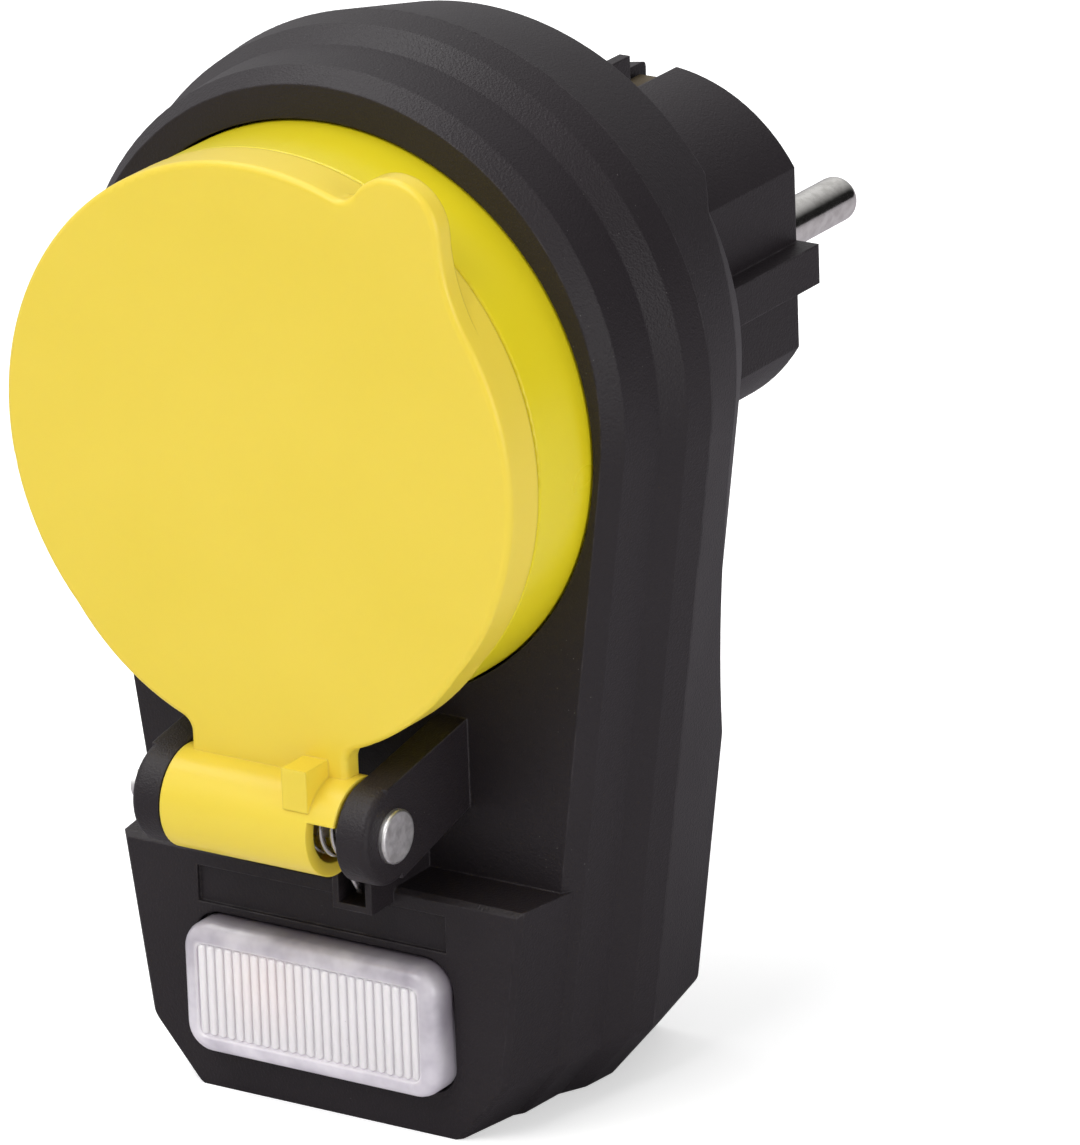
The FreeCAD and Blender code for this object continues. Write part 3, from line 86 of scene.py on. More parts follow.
def at(x: float, y: float, z: float) -> Vector:
    """Turn millimetres about the socket axis into the row frame.

    Args:
        x: Distance to the right.
        y: Distance behind the socket face.
        z: Height above the socket axis.

    Returns:
        The point in metres.
    """
    return Vector((x * MM, (y + FACE_SHIFT) * MM, (z + AXIS_HEIGHT) * MM))


def in_metres(limits: Pair) -> Pair:
    """Turn a range in millimetres into metres."""
    return limits[0] * MM, limits[1] * MM


class Body(Enum):
    """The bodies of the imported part."""

    HOUSING = "housing"
    LID = "lid"


class Slot(Enum):
    """The record's finishes that the new pieces take."""

    LENS = "lens_plastic"
    STEEL = "steel"


class Graph:
    """Short hand for adding and joining nodes of one node tree."""

    def __init__(self, tree: bpy.types.NodeTree) -> None:
        """Start on a tree.

        Args:
            tree: The node tree to fill.
        """
        self.tree = tree
        self.count = 0

    def add(self, kind: str, inputs: Optional[Dict[str, object]] = None, **settings: object) -> Node:
        """Add a node, set its plain properties and fill its inputs.

        Args:
            kind: Blender's node type.
            inputs: Input names with plain values or sockets.
            settings: Property names and values.

        Returns:
            The new node.
        """
        node = self.tree.nodes.new(kind)
        node.location = (self.count * NODE_STEP[0], -(self.count % NODE_ROWS) * NODE_STEP[1])
        self.count += 1
        for name, value in settings.items():
            setattr(node, name, value)
        for name, value in (inputs or {}).items():
            self.feed(value, node.inputs[name])
        return node

    def join(self, source: Socket, target: Socket) -> None:
        """Link two sockets."""
        self.tree.links.new(source, target)

    def feed(self, value: object, target: Socket) -> None:
        """Give a socket a link or a plain value.

        Args:
            value: Socket to link from, or the plain value.
            target: The input socket.
        """
        if isinstance(value, Socket):
            self.join(value, target)
        else:
            target.default_value = value

    def math(self, operation: str, *values: object, clamp: bool = False) -> Socket:
        """Add a math node.

        Args:
            operation: Blender's operation name.
            values: Numbers or sockets for its inputs.
            clamp: Whether the result stays between 0 and 1.

        Returns:
            The result's socket.
        """
        node = self.add("ShaderNodeMath", operation=operation, use_clamp=clamp)
        for value, target in zip(values, node.inputs):
            self.feed(value, target)
        return node.outputs[0]

    def measure(self, operation: str, *vectors: object) -> Socket:
        """Add a vector math node that gives a number.

        Args:
            operation: Blender's operation name.
            vectors: Vectors or sockets for its inputs.

        Returns:
            The number's socket.
        """
        node = self.add("ShaderNodeVectorMath", operation=operation)
        for vector, target in zip(vectors, node.inputs):
            self.feed(vector, target)
        return node.outputs["Value"]

    def parts(self, vector: Socket) -> Tuple[Socket, Socket, Socket]:
        """Split a vector into its X, Y and Z."""
        return tuple(self.add("ShaderNodeSeparateXYZ", {"Vector": vector}).outputs)

    def vector(self, x: object, y: object, z: object) -> Socket:
        """Combine three numbers or sockets into a vector."""
        return self.add("ShaderNodeCombineXYZ", {"X": x, "Y": y, "Z": z}).outputs["Vector"]

    def noise(self, vector: Socket, scale: object, detail: float = 2.0, roughness: float = 0.5) -> Socket:
        """Add a noise texture.

        Args:
            vector: Its coordinates.
            scale: Number or socket for its scale.
            detail: Number of finer layers.
            roughness: Share of each finer layer.

        Returns:
            The noise's socket.
        """
        values = {"Vector": vector, "Scale": scale, "Detail": detail, "Roughness": roughness}
        return self.add("ShaderNodeTexNoise", values).outputs["Fac"]

    def span(self, value: Socket, limits: Pair, results: Pair = (0.0, 1.0)) -> Socket:
        """Map a value from one range to another, clamped.

        Args:
            value: The socket to map.
            limits: Start and end of the range.
            results: Results at its start and end.

        Returns:
            The mapped value's socket.
        """
        values = {"Value": value, "From Min": limits[0], "From Max": limits[1],
                  "To Min": results[0], "To Max": results[1]}
        return self.add("ShaderNodeMapRange", values).outputs["Result"]

    def blend(self, factor: object, a: object, b: object) -> Socket:
        """Go from one number to another.

        Args:
            factor: Share of the second number.
            a: First number or socket.
            b: Second number or socket.

        Returns:
            The result's socket.
        """
        node = self.add("ShaderNodeMix", data_type="FLOAT")
        for place, value in zip(NUMBER_MIX, (factor, a, b)):
            self.feed(value, node.inputs[place])
        return node.outputs[0]

    def mix(self, factor: object, a: object, b: object) -> Socket:
        """Go from one colour to another.

        Args:
            factor: Share of the second colour.
            a: First colour or socket.
            b: Second colour or socket.

        Returns:
            The mixed colour's socket.
        """
        node = self.add("ShaderNodeMix", data_type="RGBA")
        for place, value in zip(COLOUR_MIX, (factor, a, b)):
            self.feed((*value, 1.0) if isinstance(value, tuple) else value, node.inputs[place])
        return node.outputs[2]


# Effects that several finishes share


class Effect:
    """A shader node group with a vector, numbers to set and named results."""

    name: ClassVar[str]
    numbers: ClassVar[Dict[str, float]]
    results: ClassVar[Dict[str, str]]

    def build(self) -> bpy.types.NodeTree:
        """Build the group.

        Returns:
            The group's tree.
        """
        tree = bpy.data.node_groups.new(self.name, "ShaderNodeTree")
        tree.interface.new_socket("Vector", in_out="INPUT", socket_type=VECTOR)
        for key, value in self.numbers.items():
            tree.interface.new_socket(key, in_out="INPUT", socket_type=NUMBER).default_value = value
        for key, kind in self.results.items():
            tree.interface.new_socket(key, in_out="OUTPUT", socket_type=kind)
        graph = Graph(tree)
        given = graph.add("NodeGroupInput").outputs
        graph.add("NodeGroupOutput", self.fill(graph, given))
        return tree

    def fill(self, graph: Graph, given: Sockets) -> Dict[str, Socket]:
        """Add the inner nodes.

        Args:
            graph: The group's graph.
            given: The sockets of the group's inputs.

        Returns:
            The sockets of the results by name.
        """
        raise NotImplementedError


@dataclass(frozen=True)
class SparkGrain(Effect):
    """Fine grain of a spark-eroded mould: small pits over a slow waviness."""

    name = "spark_grain"
    numbers = {"Scale": 5000.0}
    results = {"Height": NUMBER, "Mottle": NUMBER}
    pit_detail: float = 3.0
    pit_roughness: float = 0.62
    cell_scale: float = 1.7
    cell_share: float = 0.6
    slow_scale: float = 55.0

    def fill(self, graph: Graph, given: Sockets) -> Dict[str, Socket]:
        """Lay round cells over the pits, with the waviness beside them.

        Args:
            graph: The group's graph.
            given: The sockets of the group's inputs.

        Returns:
            The sockets of the results by name.
        """
        pits = graph.noise(given["Vector"], given["Scale"], self.pit_detail, self.pit_roughness)
        finer = graph.math("MULTIPLY", given["Scale"], self.cell_scale)
        cells = graph.add("ShaderNodeTexVoronoi", {"Vector": given["Vector"], "Scale": finer},
                          feature="SMOOTH_F1")
        return {"Height": graph.math("MULTIPLY_ADD", cells.outputs["Distance"], self.cell_share, pits),
                "Mottle": graph.noise(given["Vector"], self.slow_scale)}


@dataclass(frozen=True)
class EdgeWearAndHighlight(Effect):
    """Mask of rubbed edges and of a painted highlight along every edge, broken up by noise, with the softened
    normal beside it.
    """

    name = "edge_wear_and_highlight"
    numbers = {"Radius": 0.0003, "Amount": 0.5}
    results = {"Mask": NUMBER, "Normal": VECTOR}
    samples: int = 6
    rub_scale: float = 420.0
    rub_detail: float = 4.0
    rub_span: Pair = (0.35, 0.7)
    bend_span: Pair = (0.01, 0.16)

    def fill(self, graph: Graph, given: Sockets) -> Dict[str, Socket]:
        """Mark where the softened normal leaves the plain one.

        Args:
            graph: The group's graph.
            given: The sockets of the group's inputs.

        Returns:
            The sockets of the results by name.
        """
        bevel = graph.add("ShaderNodeBevel", {"Radius": given["Radius"]}, samples=self.samples)
        soft = bevel.outputs["Normal"]
        plain = graph.add("ShaderNodeNewGeometry").outputs["Normal"]
        bend = graph.math("SUBTRACT", 1.0, graph.measure("DOT_PRODUCT", soft, plain), clamp=True)
        rub = graph.noise(given["Vector"], self.rub_scale, self.rub_detail)
        mask = graph.math("MULTIPLY", graph.span(bend, self.bend_span), graph.span(rub, self.rub_span))
        return {"Mask": graph.math("MULTIPLY", mask, given["Amount"], clamp=True), "Normal": soft}


@dataclass(frozen=True)
class Dust(Effect):
    """Mask of scattered specks of dust."""

    name = "dust"
    numbers = {"Scale": 900.0, "Amount": 0.5}
    results = {"Mask": NUMBER}
    speck_span: Pair = (0.05, 0.11)
    patch_scale: float = 90.0
    patch_span: Pair = (0.56, 0.66)
    pick_span: Pair = (0.72, 0.78)

    def fill(self, graph: Graph, given: Sockets) -> Dict[str, Socket]:
        """Keep the middles of a few cells, and only in patches.

        Args:
            graph: The group's graph.
            given: The sockets of the group's inputs.

        Returns:
            The sockets of the results by name.
        """
        specks = graph.add("ShaderNodeTexVoronoi", {"Vector": given["Vector"], "Scale": given["Scale"]})
        near = graph.span(specks.outputs["Distance"], self.speck_span, FALLING)
        some = graph.span(graph.noise(given["Vector"], self.patch_scale), self.patch_span)
        pick = graph.add("ShaderNodeSeparateColor", {"Color": specks.outputs["Color"]}).outputs["Red"]
        mask = graph.math("MULTIPLY", graph.math("MULTIPLY", near, some), graph.span(pick, self.pick_span))
        return {"Mask": graph.math("MULTIPLY", mask, given["Amount"], clamp=True)}


@dataclass(frozen=True)
class Scuff(Effect):
    """Mask of scratches and rubbed spots about the vector's zero, thinning out with the distance."""

    name = "scuff"
    numbers = {"Reach": 0.005, "Amount": 0.7}
    results = {"Mask": NUMBER}
    rub_scale: float = 1300.0
    rub_detail: float = 5.0
    near_share: float = 0.22
    spot_span: Pair = (0.62, 0.74)
    fade_span: Pair = (0.0, 0.35)

    def fill(self, graph: Graph, given: Sockets) -> Dict[str, Socket]:
        """Let more of the noise through near the middle.

        Args:
            graph: The group's graph.
            given: The sockets of the group's inputs.

        Returns:
            The sockets of the results by name.
        """
        share = graph.math("DIVIDE", graph.measure("LENGTH", given["Vector"]), given["Reach"])
        near = graph.math("SUBTRACT", 1.0, share, clamp=True)
        rub = graph.noise(given["Vector"], self.rub_scale, self.rub_detail)
        spots = graph.span(graph.math("MULTIPLY_ADD", near, self.near_share, rub), self.spot_span)
        mask = graph.math("MULTIPLY", spots, graph.span(near, self.fade_span))
        return {"Mask": graph.math("MULTIPLY", mask, given["Amount"], clamp=True)}


@dataclass(frozen=True)
class Turning(Effect):
    """Rings left by a lathe about the vector's X axis, and scratches across them."""

    name = "turning"
    numbers = {"Scale": 2500.0}
    results = {"Height": NUMBER, "Scratch": NUMBER}
    along_share: float = 0.4
    ring_detail: float = 3.0
    scratch_scale: float = 900.0
    scratch_detail: float = 5.0
    scratch_share: float = 0.25

    def fill(self, graph: Graph, given: Sockets) -> Dict[str, Socket]:
        """Take noise by the distance from the axis, and add the scratches.

        Args:
            graph: The group's graph.
            given: The sockets of the group's inputs.

        Returns:
            The sockets of the results by name.
        """
        x, y, z = graph.parts(given["Vector"])
        radius = graph.math("SQRT", graph.math("MULTIPLY_ADD", y, y, graph.math("MULTIPLY", z, z)))
        place = graph.vector(radius, graph.math("MULTIPLY", x, self.along_share), 0.0)
        rings = graph.noise(place, given["Scale"], self.ring_detail)
        scratch = graph.noise(given["Vector"], self.scratch_scale, self.scratch_detail)
        return {"Height": graph.math("MULTIPLY_ADD", scratch, self.scratch_share, rings), "Scratch": scratch}


class Shared(Enum):
    """The effects by name."""

    GRAIN = SparkGrain()
    WEAR_AND_HIGHLIGHT = EdgeWearAndHighlight()
    DUST = Dust()
    SCUFF = Scuff()
    TURNING = Turning()


GROUPS: Dict[Shared, bpy.types.NodeTree] = {}


# Finishes


class Finish:
    """A material under construction: its graph, its shader and its shared groups."""

    def __init__(self, name: str) -> None:
        """Create a material with a Principled shader.

        Args:
            name: Name of the material.
        """
        self.material = bpy.data.materials.new(name)
        self.material.use_nodes = True
        tree = self.material.node_tree
        tree.nodes.clear()
        self.graph = Graph(tree)
        self.shader = self.graph.add("ShaderNodeBsdfPrincipled")
        self.graph.add("ShaderNodeOutputMaterial", {"Surface": self.shader.outputs["BSDF"]})
        self.coordinates = self.graph.add("ShaderNodeTexCoord").outputs["Object"]

    def shade(self, values: Dict[str, object]) -> None:
        """Fill the shader's inputs by name."""
        for key, value in values.items():
            self.graph.feed(value, self.shader.inputs[key])

    def group(self, effect: Shared, vector: Optional[Socket] = None, **values: float) -> Node:
        """Place a shared effect with its own numbers.

        Args:
            effect: Which effect.
            vector: Coordinates, or None for the object's own.
            values: Input names and numbers.

        Returns:
            The group's node.
        """
        return self.graph.add("ShaderNodeGroup", {"Vector": vector or self.coordinates, **values},
                              node_tree=GROUPS[effect])

    def bump(self, height: Socket, relief: Pair, normal: Optional[Socket] = None) -> Socket:
        """Turn a height into a normal.

        Args:
            height: The height's socket.
            relief: Share of the effect, and its height in metres.
            normal: Normal to start from.

        Returns:
            The bumped normal's socket.
        """
        values = {"Strength": relief[0], "Distance": relief[1], "Height": height}
        if normal is not None:
            values["Normal"] = normal
        return self.graph.add("ShaderNodeBump", values).outputs["Normal"]

    def centred(self, centre: Point, turn: Point = (0.0, 0.0, 0.0)) -> Socket:
        """Object coordinates with their zero moved to a point, then turned.

        Args:
            centre: The new zero, in millimetres about the socket axis.
            turn: Angles in radians.

        Returns:
            The coordinates' socket.
        """
        values = {"Vector": self.coordinates, "Location": at(*centre), "Rotation": turn}
        return self.graph.add("ShaderNodeMapping", values, vector_type="TEXTURE").outputs["Vector"]


@dataclass(frozen=True)
class Coating:
    """What every finish has: a name and nodes of its own."""

    name: str

    def build(self) -> Material:
        """Build the material.

        Returns:
            The new material.
        """
        finish = Finish(self.name)
        self.dress(finish, finish.graph)
        return finish.material

    def dress(self, finish: Finish, graph: Graph) -> None:
        """Add the nodes of this finish.

        Args:
            finish: The material under construction.
            graph: Its graph.
        """
        raise NotImplementedError


@dataclass(frozen=True)
class MouldedPlastic(Coating):
    """Injection-moulded plastic with grain, mottling, rubbed edges with a painted highlight along them, dust
    and scuffs.
    """

    colour: Rgb
    shade: Rgb
    worn_and_highlight: Rgb
    rough: Pair
    grain_scale: float
    relief: Pair
    edge_radius: float
    wear_and_highlight: float
    dust: float
    specular: float = 0.5
    subsurface: float = 0.0
    scuffs: Tuple[Point, ...] = ()
    tint_span: Pair = (0.3, 0.7)
    rough_span: Pair = (0.25, 0.75)
    dust_scale: float = 1500.0
    dust_tint: Rgb = (0.55, 0.53, 0.50)
    scuff_tint: Rgb = (0.20, 0.19, 0.18)
    scatter_share: Point = (1.0, 0.7, 0.2)
    scatter_depth: float = 0.0012

    def dress(self, finish: Finish, graph: Graph) -> None:
        """Mottle the colour, rub its edges and paint a highlight along them, and lay dust and scuffs on it.

        Args:
            finish: The material under construction.
            graph: Its graph.
        """
        grain = finish.group(Shared.GRAIN, Scale=self.grain_scale)
        wear_and_highlight = finish.group(Shared.WEAR_AND_HIGHLIGHT, Radius=self.edge_radius, Amount=self.wear_and_highlight)
        dust = finish.group(Shared.DUST, Scale=self.dust_scale, Amount=self.dust)
        mottle = grain.outputs["Mottle"]
        tint = graph.mix(graph.span(mottle, self.tint_span), self.colour, self.shade)
        # Edges lighter by the worn colour: partly rubbed wear, partly a painted highlight along every edge.
        tint = graph.mix(wear_and_highlight.outputs["Mask"], tint, self.worn_and_highlight)
        tint = graph.mix(dust.outputs["Mask"], tint, self.dust_tint)
        for place in self.scuffs:
            scuff = finish.group(Shared.SCUFF, finish.centred(place))
            tint = graph.mix(scuff.outputs["Mask"], tint, self.scuff_tint)
        finish.shade({
            "Base Color": tint, "Roughness": graph.span(mottle, self.rough_span, self.rough),
            "Normal": finish.bump(grain.outputs["Height"], self.relief, wear_and_highlight.outputs["Normal"]),
            "Specular IOR Level": self.specular,
        })
        if self.subsurface:
            finish.shade({"Subsurface Weight": self.subsurface, "Subsurface Radius": self.scatter_share,
                          "Subsurface Scale": self.scatter_depth})


@dataclass(frozen=True)
class TurnedMetal(Coating):
    """Metal with lathe rings about an axis."""

    colour: Rgb
    dull: Rgb
    rough: Pair
    centre: Point
    turn: Point = (0.0, 0.0, 0.0)
    ring_scale: float = 2500.0
    relief: Pair = (0.5, 0.00002)
    edge_radius: float = 0.0002
    dull_span: Pair = (0.4, 0.65)
    rough_span: Pair = (0.3, 0.9)

    def dress(self, finish: Finish, graph: Graph) -> None:
        """Dull the scratches and follow the rings with the roughness.

        Args:
            finish: The material under construction.
            graph: Its graph.
        """
        turning = finish.group(Shared.TURNING, finish.centred(self.centre, self.turn), Scale=self.ring_scale)
        wear_and_highlight = finish.group(Shared.WEAR_AND_HIGHLIGHT, Radius=self.edge_radius, Amount=0.0)
        scratch, height = turning.outputs["Scratch"], turning.outputs["Height"]
        finish.shade({
            "Base Color": graph.mix(graph.span(scratch, self.dull_span), self.colour, self.dull),
            "Roughness": graph.span(height, self.rough_span, self.rough), "Metallic": 1.0,
            "Normal": finish.bump(height, self.relief, wear_and_highlight.outputs["Normal"]),
        })


@dataclass(frozen=True)
class RolledMetal(Coating):
    """Stamped or drawn metal with fine scratches and tarnish."""

    colour: Rgb
    tarnish: Rgb
    rough: Pair
    stretch: Point = (1.0, 1.0, 1.0)
    streak_scale: float = 900.0
    streak_detail: float = 4.0
    stain_scale: float = 160.0
    stain_span: Pair = (0.45, 0.7)
    rough_span: Pair = (0.3, 0.7)
    relief: Pair = (0.35, 0.00002)
    edge_radius: float = 0.00015

    def dress(self, finish: Finish, graph: Graph) -> None:
        """Stain the colour and streak the surface along its grain.

        Args:
            finish: The material under construction.
            graph: Its graph.
        """
        mapping = graph.add("ShaderNodeMapping", {"Vector": finish.coordinates, "Scale": self.stretch})
        streak = graph.noise(mapping.outputs["Vector"], self.streak_scale, self.streak_detail)
        stain = graph.noise(finish.coordinates, self.stain_scale)
        wear_and_highlight = finish.group(Shared.WEAR_AND_HIGHLIGHT, Radius=self.edge_radius, Amount=0.0)
        finish.shade({
            "Base Color": graph.mix(graph.span(stain, self.stain_span), self.colour, self.tarnish),
            "Roughness": graph.span(streak, self.rough_span, self.rough), "Metallic": 1.0,
            "Normal": finish.bump(streak, self.relief, wear_and_highlight.outputs["Normal"]),
        })


@dataclass(frozen=True)
class MilkyWindow(Coating):
    """Translucent moulded window, clearer in its ribbed field, with a weak painted glow of the lamp behind
    it, and painted light in its field and its lower border.
    """

    name: str = "milky_window"
    border: Rgb = (0.64, 0.61, 0.66)
    border_deep: Rgb = (0.41, 0.38, 0.44)
    # Painted shade on the cap's sides, towards the back.
    flank_shade: Rgb = (0.14, 0.118, 0.146)
    ribbed: Rgb = (0.78, 0.745, 0.78)
    # The pink tint round the lamp and the three emitted colours below are painted light, not the plastic's
    # colour.
    painted_glow_tint: Rgb = (0.96, 0.80, 0.78)
    dust_tint: Rgb = (0.45, 0.44, 0.46)
    glow: Rgb = (0.070, 0.043, 0.041)
    field_light: Rgb = (0.067, 0.065, 0.067)
    low_light: Rgb = (0.150, 0.142, 0.158)
    middle: Point = (0.0, -9.8, -60.4)
    field: Pair = (13.2, 5.0)
    field_soft: float = 0.3
    lamp: Point = (-5.5, -9.0, -58.6)
    lamp_reach: float = 6.4
    lamp_share: float = 0.32
    flank_depth: Pair = (0.5, 3.4)
    low_span: Pair = (-6.5, 2.0)
    cloud_scale: float = 260.0
    cloud_detail: float = 3.0
    cloud_span: Pair = (0.35, 0.7)
    grain_scale: float = 2600.0
    relief: Pair = (0.25, 0.00002)
    dust_scale: float = 1300.0
    dust: float = 0.5
    rough: float = 0.30
    scatter: float = 0.5
    scatter_share: Point = (1.0, 0.9, 1.0)
    scatter_depth: float = 0.0012
    coat: float = 0.3
    coat_rough: float = 0.12

    def dress(self, finish: Finish, graph: Graph) -> None:
        """Cloud the border, clear the field, and paint light into both as emission, with a painted pink glow
        round the lamp.

        Args:
            finish: The material under construction.
            graph: Its graph.
        """
        cloud = graph.noise(finish.coordinates, self.cloud_scale, self.cloud_detail)
        grain = finish.group(Shared.GRAIN, Scale=self.grain_scale)
        dust = finish.group(Shared.DUST, Scale=self.dust_scale, Amount=self.dust)
        x, y, z = graph.parts(finish.centred(self.middle))
        inside = self.field_mask(graph, x, z)
        distance = graph.measure("LENGTH", finish.centred(self.lamp))
        near = graph.span(distance, (0.0, self.lamp_reach * MM), (self.lamp_share, 0.0))
        tint = graph.mix(graph.span(cloud, self.cloud_span), self.border, self.border_deep)
        # Painted shade: the sides of the cap darken towards the back, where they sink into the housing.
        tint = graph.mix(graph.span(y, in_metres(self.flank_depth)), tint, self.flank_shade)
        tint = graph.mix(inside, tint, self.ribbed)
        # Painted glow: the field turns pink round the lamp.
        tint = graph.mix(graph.math("MULTIPLY", near, inside), tint, self.painted_glow_tint)
        tint = graph.mix(dust.outputs["Mask"], tint, self.dust_tint)
        # Painted light: the field emits, more round the lamp, and the border emits more towards the bottom.
        low = graph.span(z, in_metres(self.low_span), FALLING)
        light = graph.mix(inside, graph.mix(low, (0.0, 0.0, 0.0), self.low_light),
                          graph.mix(near, self.field_light, self.glow))
        finish.shade({
            "Base Color": tint, "Roughness": self.rough, "Emission Color": light, "Emission Strength": 1.0,
            "Subsurface Weight": self.scatter, "Subsurface Radius": self.scatter_share,
            "Subsurface Scale": self.scatter_depth, "Coat Weight": self.coat,
            "Coat Roughness": self.coat_rough, "Normal": finish.bump(grain.outputs["Height"], self.relief),
        })

    def field_mask(self, graph: Graph, x: Socket, z: Socket) -> Socket:
        """Mask of the ribbed field, where the wall behind the surface is thin.

        Args:
            graph: The material's graph.
            x: Distance from the middle to the side.
            z: Distance from the middle upwards.

        Returns:
            The mask's socket.
        """
        sides = []
        for place, half in zip((x, z), self.field):
            rim = in_metres((half - self.field_soft, half + self.field_soft))
            sides.append(graph.span(graph.math("ABSOLUTE", place), rim, FALLING))
        return graph.math("MULTIPLY", *sides)


@dataclass(frozen=True)
class LampGlass(Coating):
    """Clear glass of the little lamp."""

    name: str = "lamp_glass_clear"
    colour: Rgb = (1.0, 0.82, 0.76)
    streak_tint: Rgb = (1.0, 0.9, 0.86)
    streak_scale: float = 300.0
    streak_span: Pair = (0.3, 0.7)
    rough: float = 0.05
    clearness: float = 0.9

    def dress(self, finish: Finish, graph: Graph) -> None:
        """Streak the tint of the glass.

        Args:
            finish: The material under construction.
            graph: Its graph.
        """
        streak = graph.span(graph.noise(finish.coordinates, self.streak_scale), self.streak_span)
        finish.shade({"Base Color": graph.mix(streak, self.colour, self.streak_tint), "Roughness": self.rough,
                      "Transmission Weight": self.clearness})


@dataclass(frozen=True)
class CircuitLacquer(Coating):
    """Green solder mask with copper traces below it."""

    name: str = "circuit_lacquer"
    colour: Rgb = (0.010, 0.105, 0.030)
    trace: Rgb = (0.030, 0.190, 0.060)
    trace_scale: float = 90.0
    trace_width: float = 0.035
    trace_soft: float = 0.3
    rough: float = 0.3
    relief: Pair = (0.4, 0.00004)

    def dress(self, finish: Finish, graph: Graph) -> None:
        """Lay the traces out as the joints of a brick wall that stands upright.

        Args:
            finish: The material under construction.
            graph: Its graph.
        """
        turned = graph.add("ShaderNodeMapping",
                           {"Vector": finish.coordinates, "Rotation": (QUARTER_TURN, 0.0, 0.0)})
        traces = graph.add("ShaderNodeTexBrick", {
            "Vector": turned.outputs["Vector"], "Scale": self.trace_scale, "Mortar Size": self.trace_width,
            "Mortar Smooth": self.trace_soft,
        }).outputs["Fac"]
        finish.shade({"Base Color": graph.mix(traces, self.colour, self.trace), "Roughness": self.rough,
                      "Normal": finish.bump(traces, self.relief)})


class Coat(Enum):
    """The finishes of this part: lengths in metres, but scuffs and centres in millimetres."""

    # Each plastic's worn colour lightens its edges: partly real wear, partly a painted edge highlight.
    BLACK_SHELL = MouldedPlastic(
        "black_shell", colour=(0.0172, 0.0136, 0.0161), shade=(0.0205, 0.0163, 0.0192),
        worn_and_highlight=(0.105, 0.092, 0.100), rough=(0.42, 0.52), grain_scale=2900.0, relief=(0.8, 0.000075),
        edge_radius=0.0003, wear_and_highlight=0.6, dust=0.22, specular=0.30,
        scuffs=((28.6, -6.6, -46.5), (31.6, 2.1, -46.0), (-28.6, -6.6, -46.5)))
    BLACK_INSERT = MouldedPlastic(
        "black_insert", colour=(0.014, 0.014, 0.015), shade=(0.018, 0.018, 0.019),
        worn_and_highlight=(0.055, 0.055, 0.055), rough=(0.35, 0.45), grain_scale=3000.0, relief=(0.8, 0.00002),
        edge_radius=0.0002, wear_and_highlight=0.3, dust=0.2, specular=0.4)
    YELLOW_LID = MouldedPlastic(
        "yellow_lid", colour=(0.81, 0.620, 0.058), shade=(0.83, 0.635, 0.064), worn_and_highlight=(0.95, 0.80, 0.22),
        rough=(0.30, 0.38), grain_scale=2500.0, relief=(0.8, 0.00001), edge_radius=0.00025, wear_and_highlight=0.25,
        dust=0.12, specular=0.4, subsurface=0.12)
    # The collar's yellow is the lid's made more saturated: partly its own moulding, partly painted light for
    # the brighter light on the collar.
    YELLOW_COLLAR_LIT = replace(
        YELLOW_LID, name="yellow_collar_lit", colour=(0.76, 0.620, 0.012), shade=(0.78, 0.640, 0.015),
        worn_and_highlight=(0.98, 0.85, 0.10), rough=(0.26, 0.33))
    RUBBER = MouldedPlastic(
        "soft_rubber", colour=(0.030, 0.030, 0.031), shade=(0.040, 0.040, 0.042), worn_and_highlight=(0.07, 0.07, 0.07),
        rough=(0.62, 0.75), grain_scale=2200.0, relief=(0.8, 0.00003), edge_radius=0.0002, wear_and_highlight=0.2,
        dust=0.4, specular=0.3)
    RELAY_CASE = MouldedPlastic(
        "relay_case_blue", colour=(0.020, 0.055, 0.22), shade=(0.024, 0.062, 0.25), worn_and_highlight=(0.10, 0.16, 0.35),
        rough=(0.25, 0.32), grain_scale=2200.0, relief=(0.8, 0.00001), edge_radius=0.00025, wear_and_highlight=0.3,
        dust=0.2)
    CAPACITOR_CASE = replace(
        RELAY_CASE, name="capacitor_case_ochre", colour=(0.52, 0.36, 0.05), shade=(0.55, 0.38, 0.06),
        worn_and_highlight=(0.7, 0.55, 0.2), rough=(0.3, 0.4), relief=(0.8, 0.00002))
    PIN_STEEL = TurnedMetal(
        "hinge_pin_steel", colour=(0.97, 0.96, 0.95), dull=(0.70, 0.69, 0.68), rough=(0.34, 0.52),
        centre=(0.0, -13.6, -37.5))
    LEFT_NICKEL = TurnedMetal(
        "nickel_left", colour=(0.93, 0.91, 0.88), dull=(0.74, 0.72, 0.69), rough=(0.10, 0.18),
        centre=(-9.5, 0.0, 0.0), turn=(0.0, 0.0, QUARTER_TURN), ring_scale=1800.0, relief=(0.5, 0.00001))
    RIGHT_NICKEL = replace(LEFT_NICKEL, name="nickel_right", centre=(9.5, 0.0, 0.0))
    ZINC_STEEL = RolledMetal(
        "zinc_steel", colour=(0.66, 0.66, 0.67), tarnish=(0.50, 0.50, 0.52), rough=(0.24, 0.38))
    SPRING_WIRE = RolledMetal(
        "spring_wire", colour=(0.70, 0.69, 0.68), tarnish=(0.55, 0.54, 0.53), rough=(0.14, 0.25),
        stretch=(0.2, 1.0, 1.0))
    BRASS = RolledMetal(
        "stamped_brass", colour=(0.78, 0.57, 0.24), tarnish=(0.52, 0.36, 0.14), rough=(0.22, 0.36),
        stretch=(1.0, 0.15, 0.15))
    # Painted shade: the earth strip's brass is darkened throughout because it lies in shade; its stains are
    # kept.
    SHADED_BRASS = replace(
        BRASS, name="brass_painted_shade", colour=(0.16, 0.125, 0.075), tarnish=(0.09, 0.07, 0.045),
        rough=(0.42, 0.55))
    WINDOW = MilkyWindow()
    LAMP_GLASS = LampGlass()
    BOARD = CircuitLacquer()


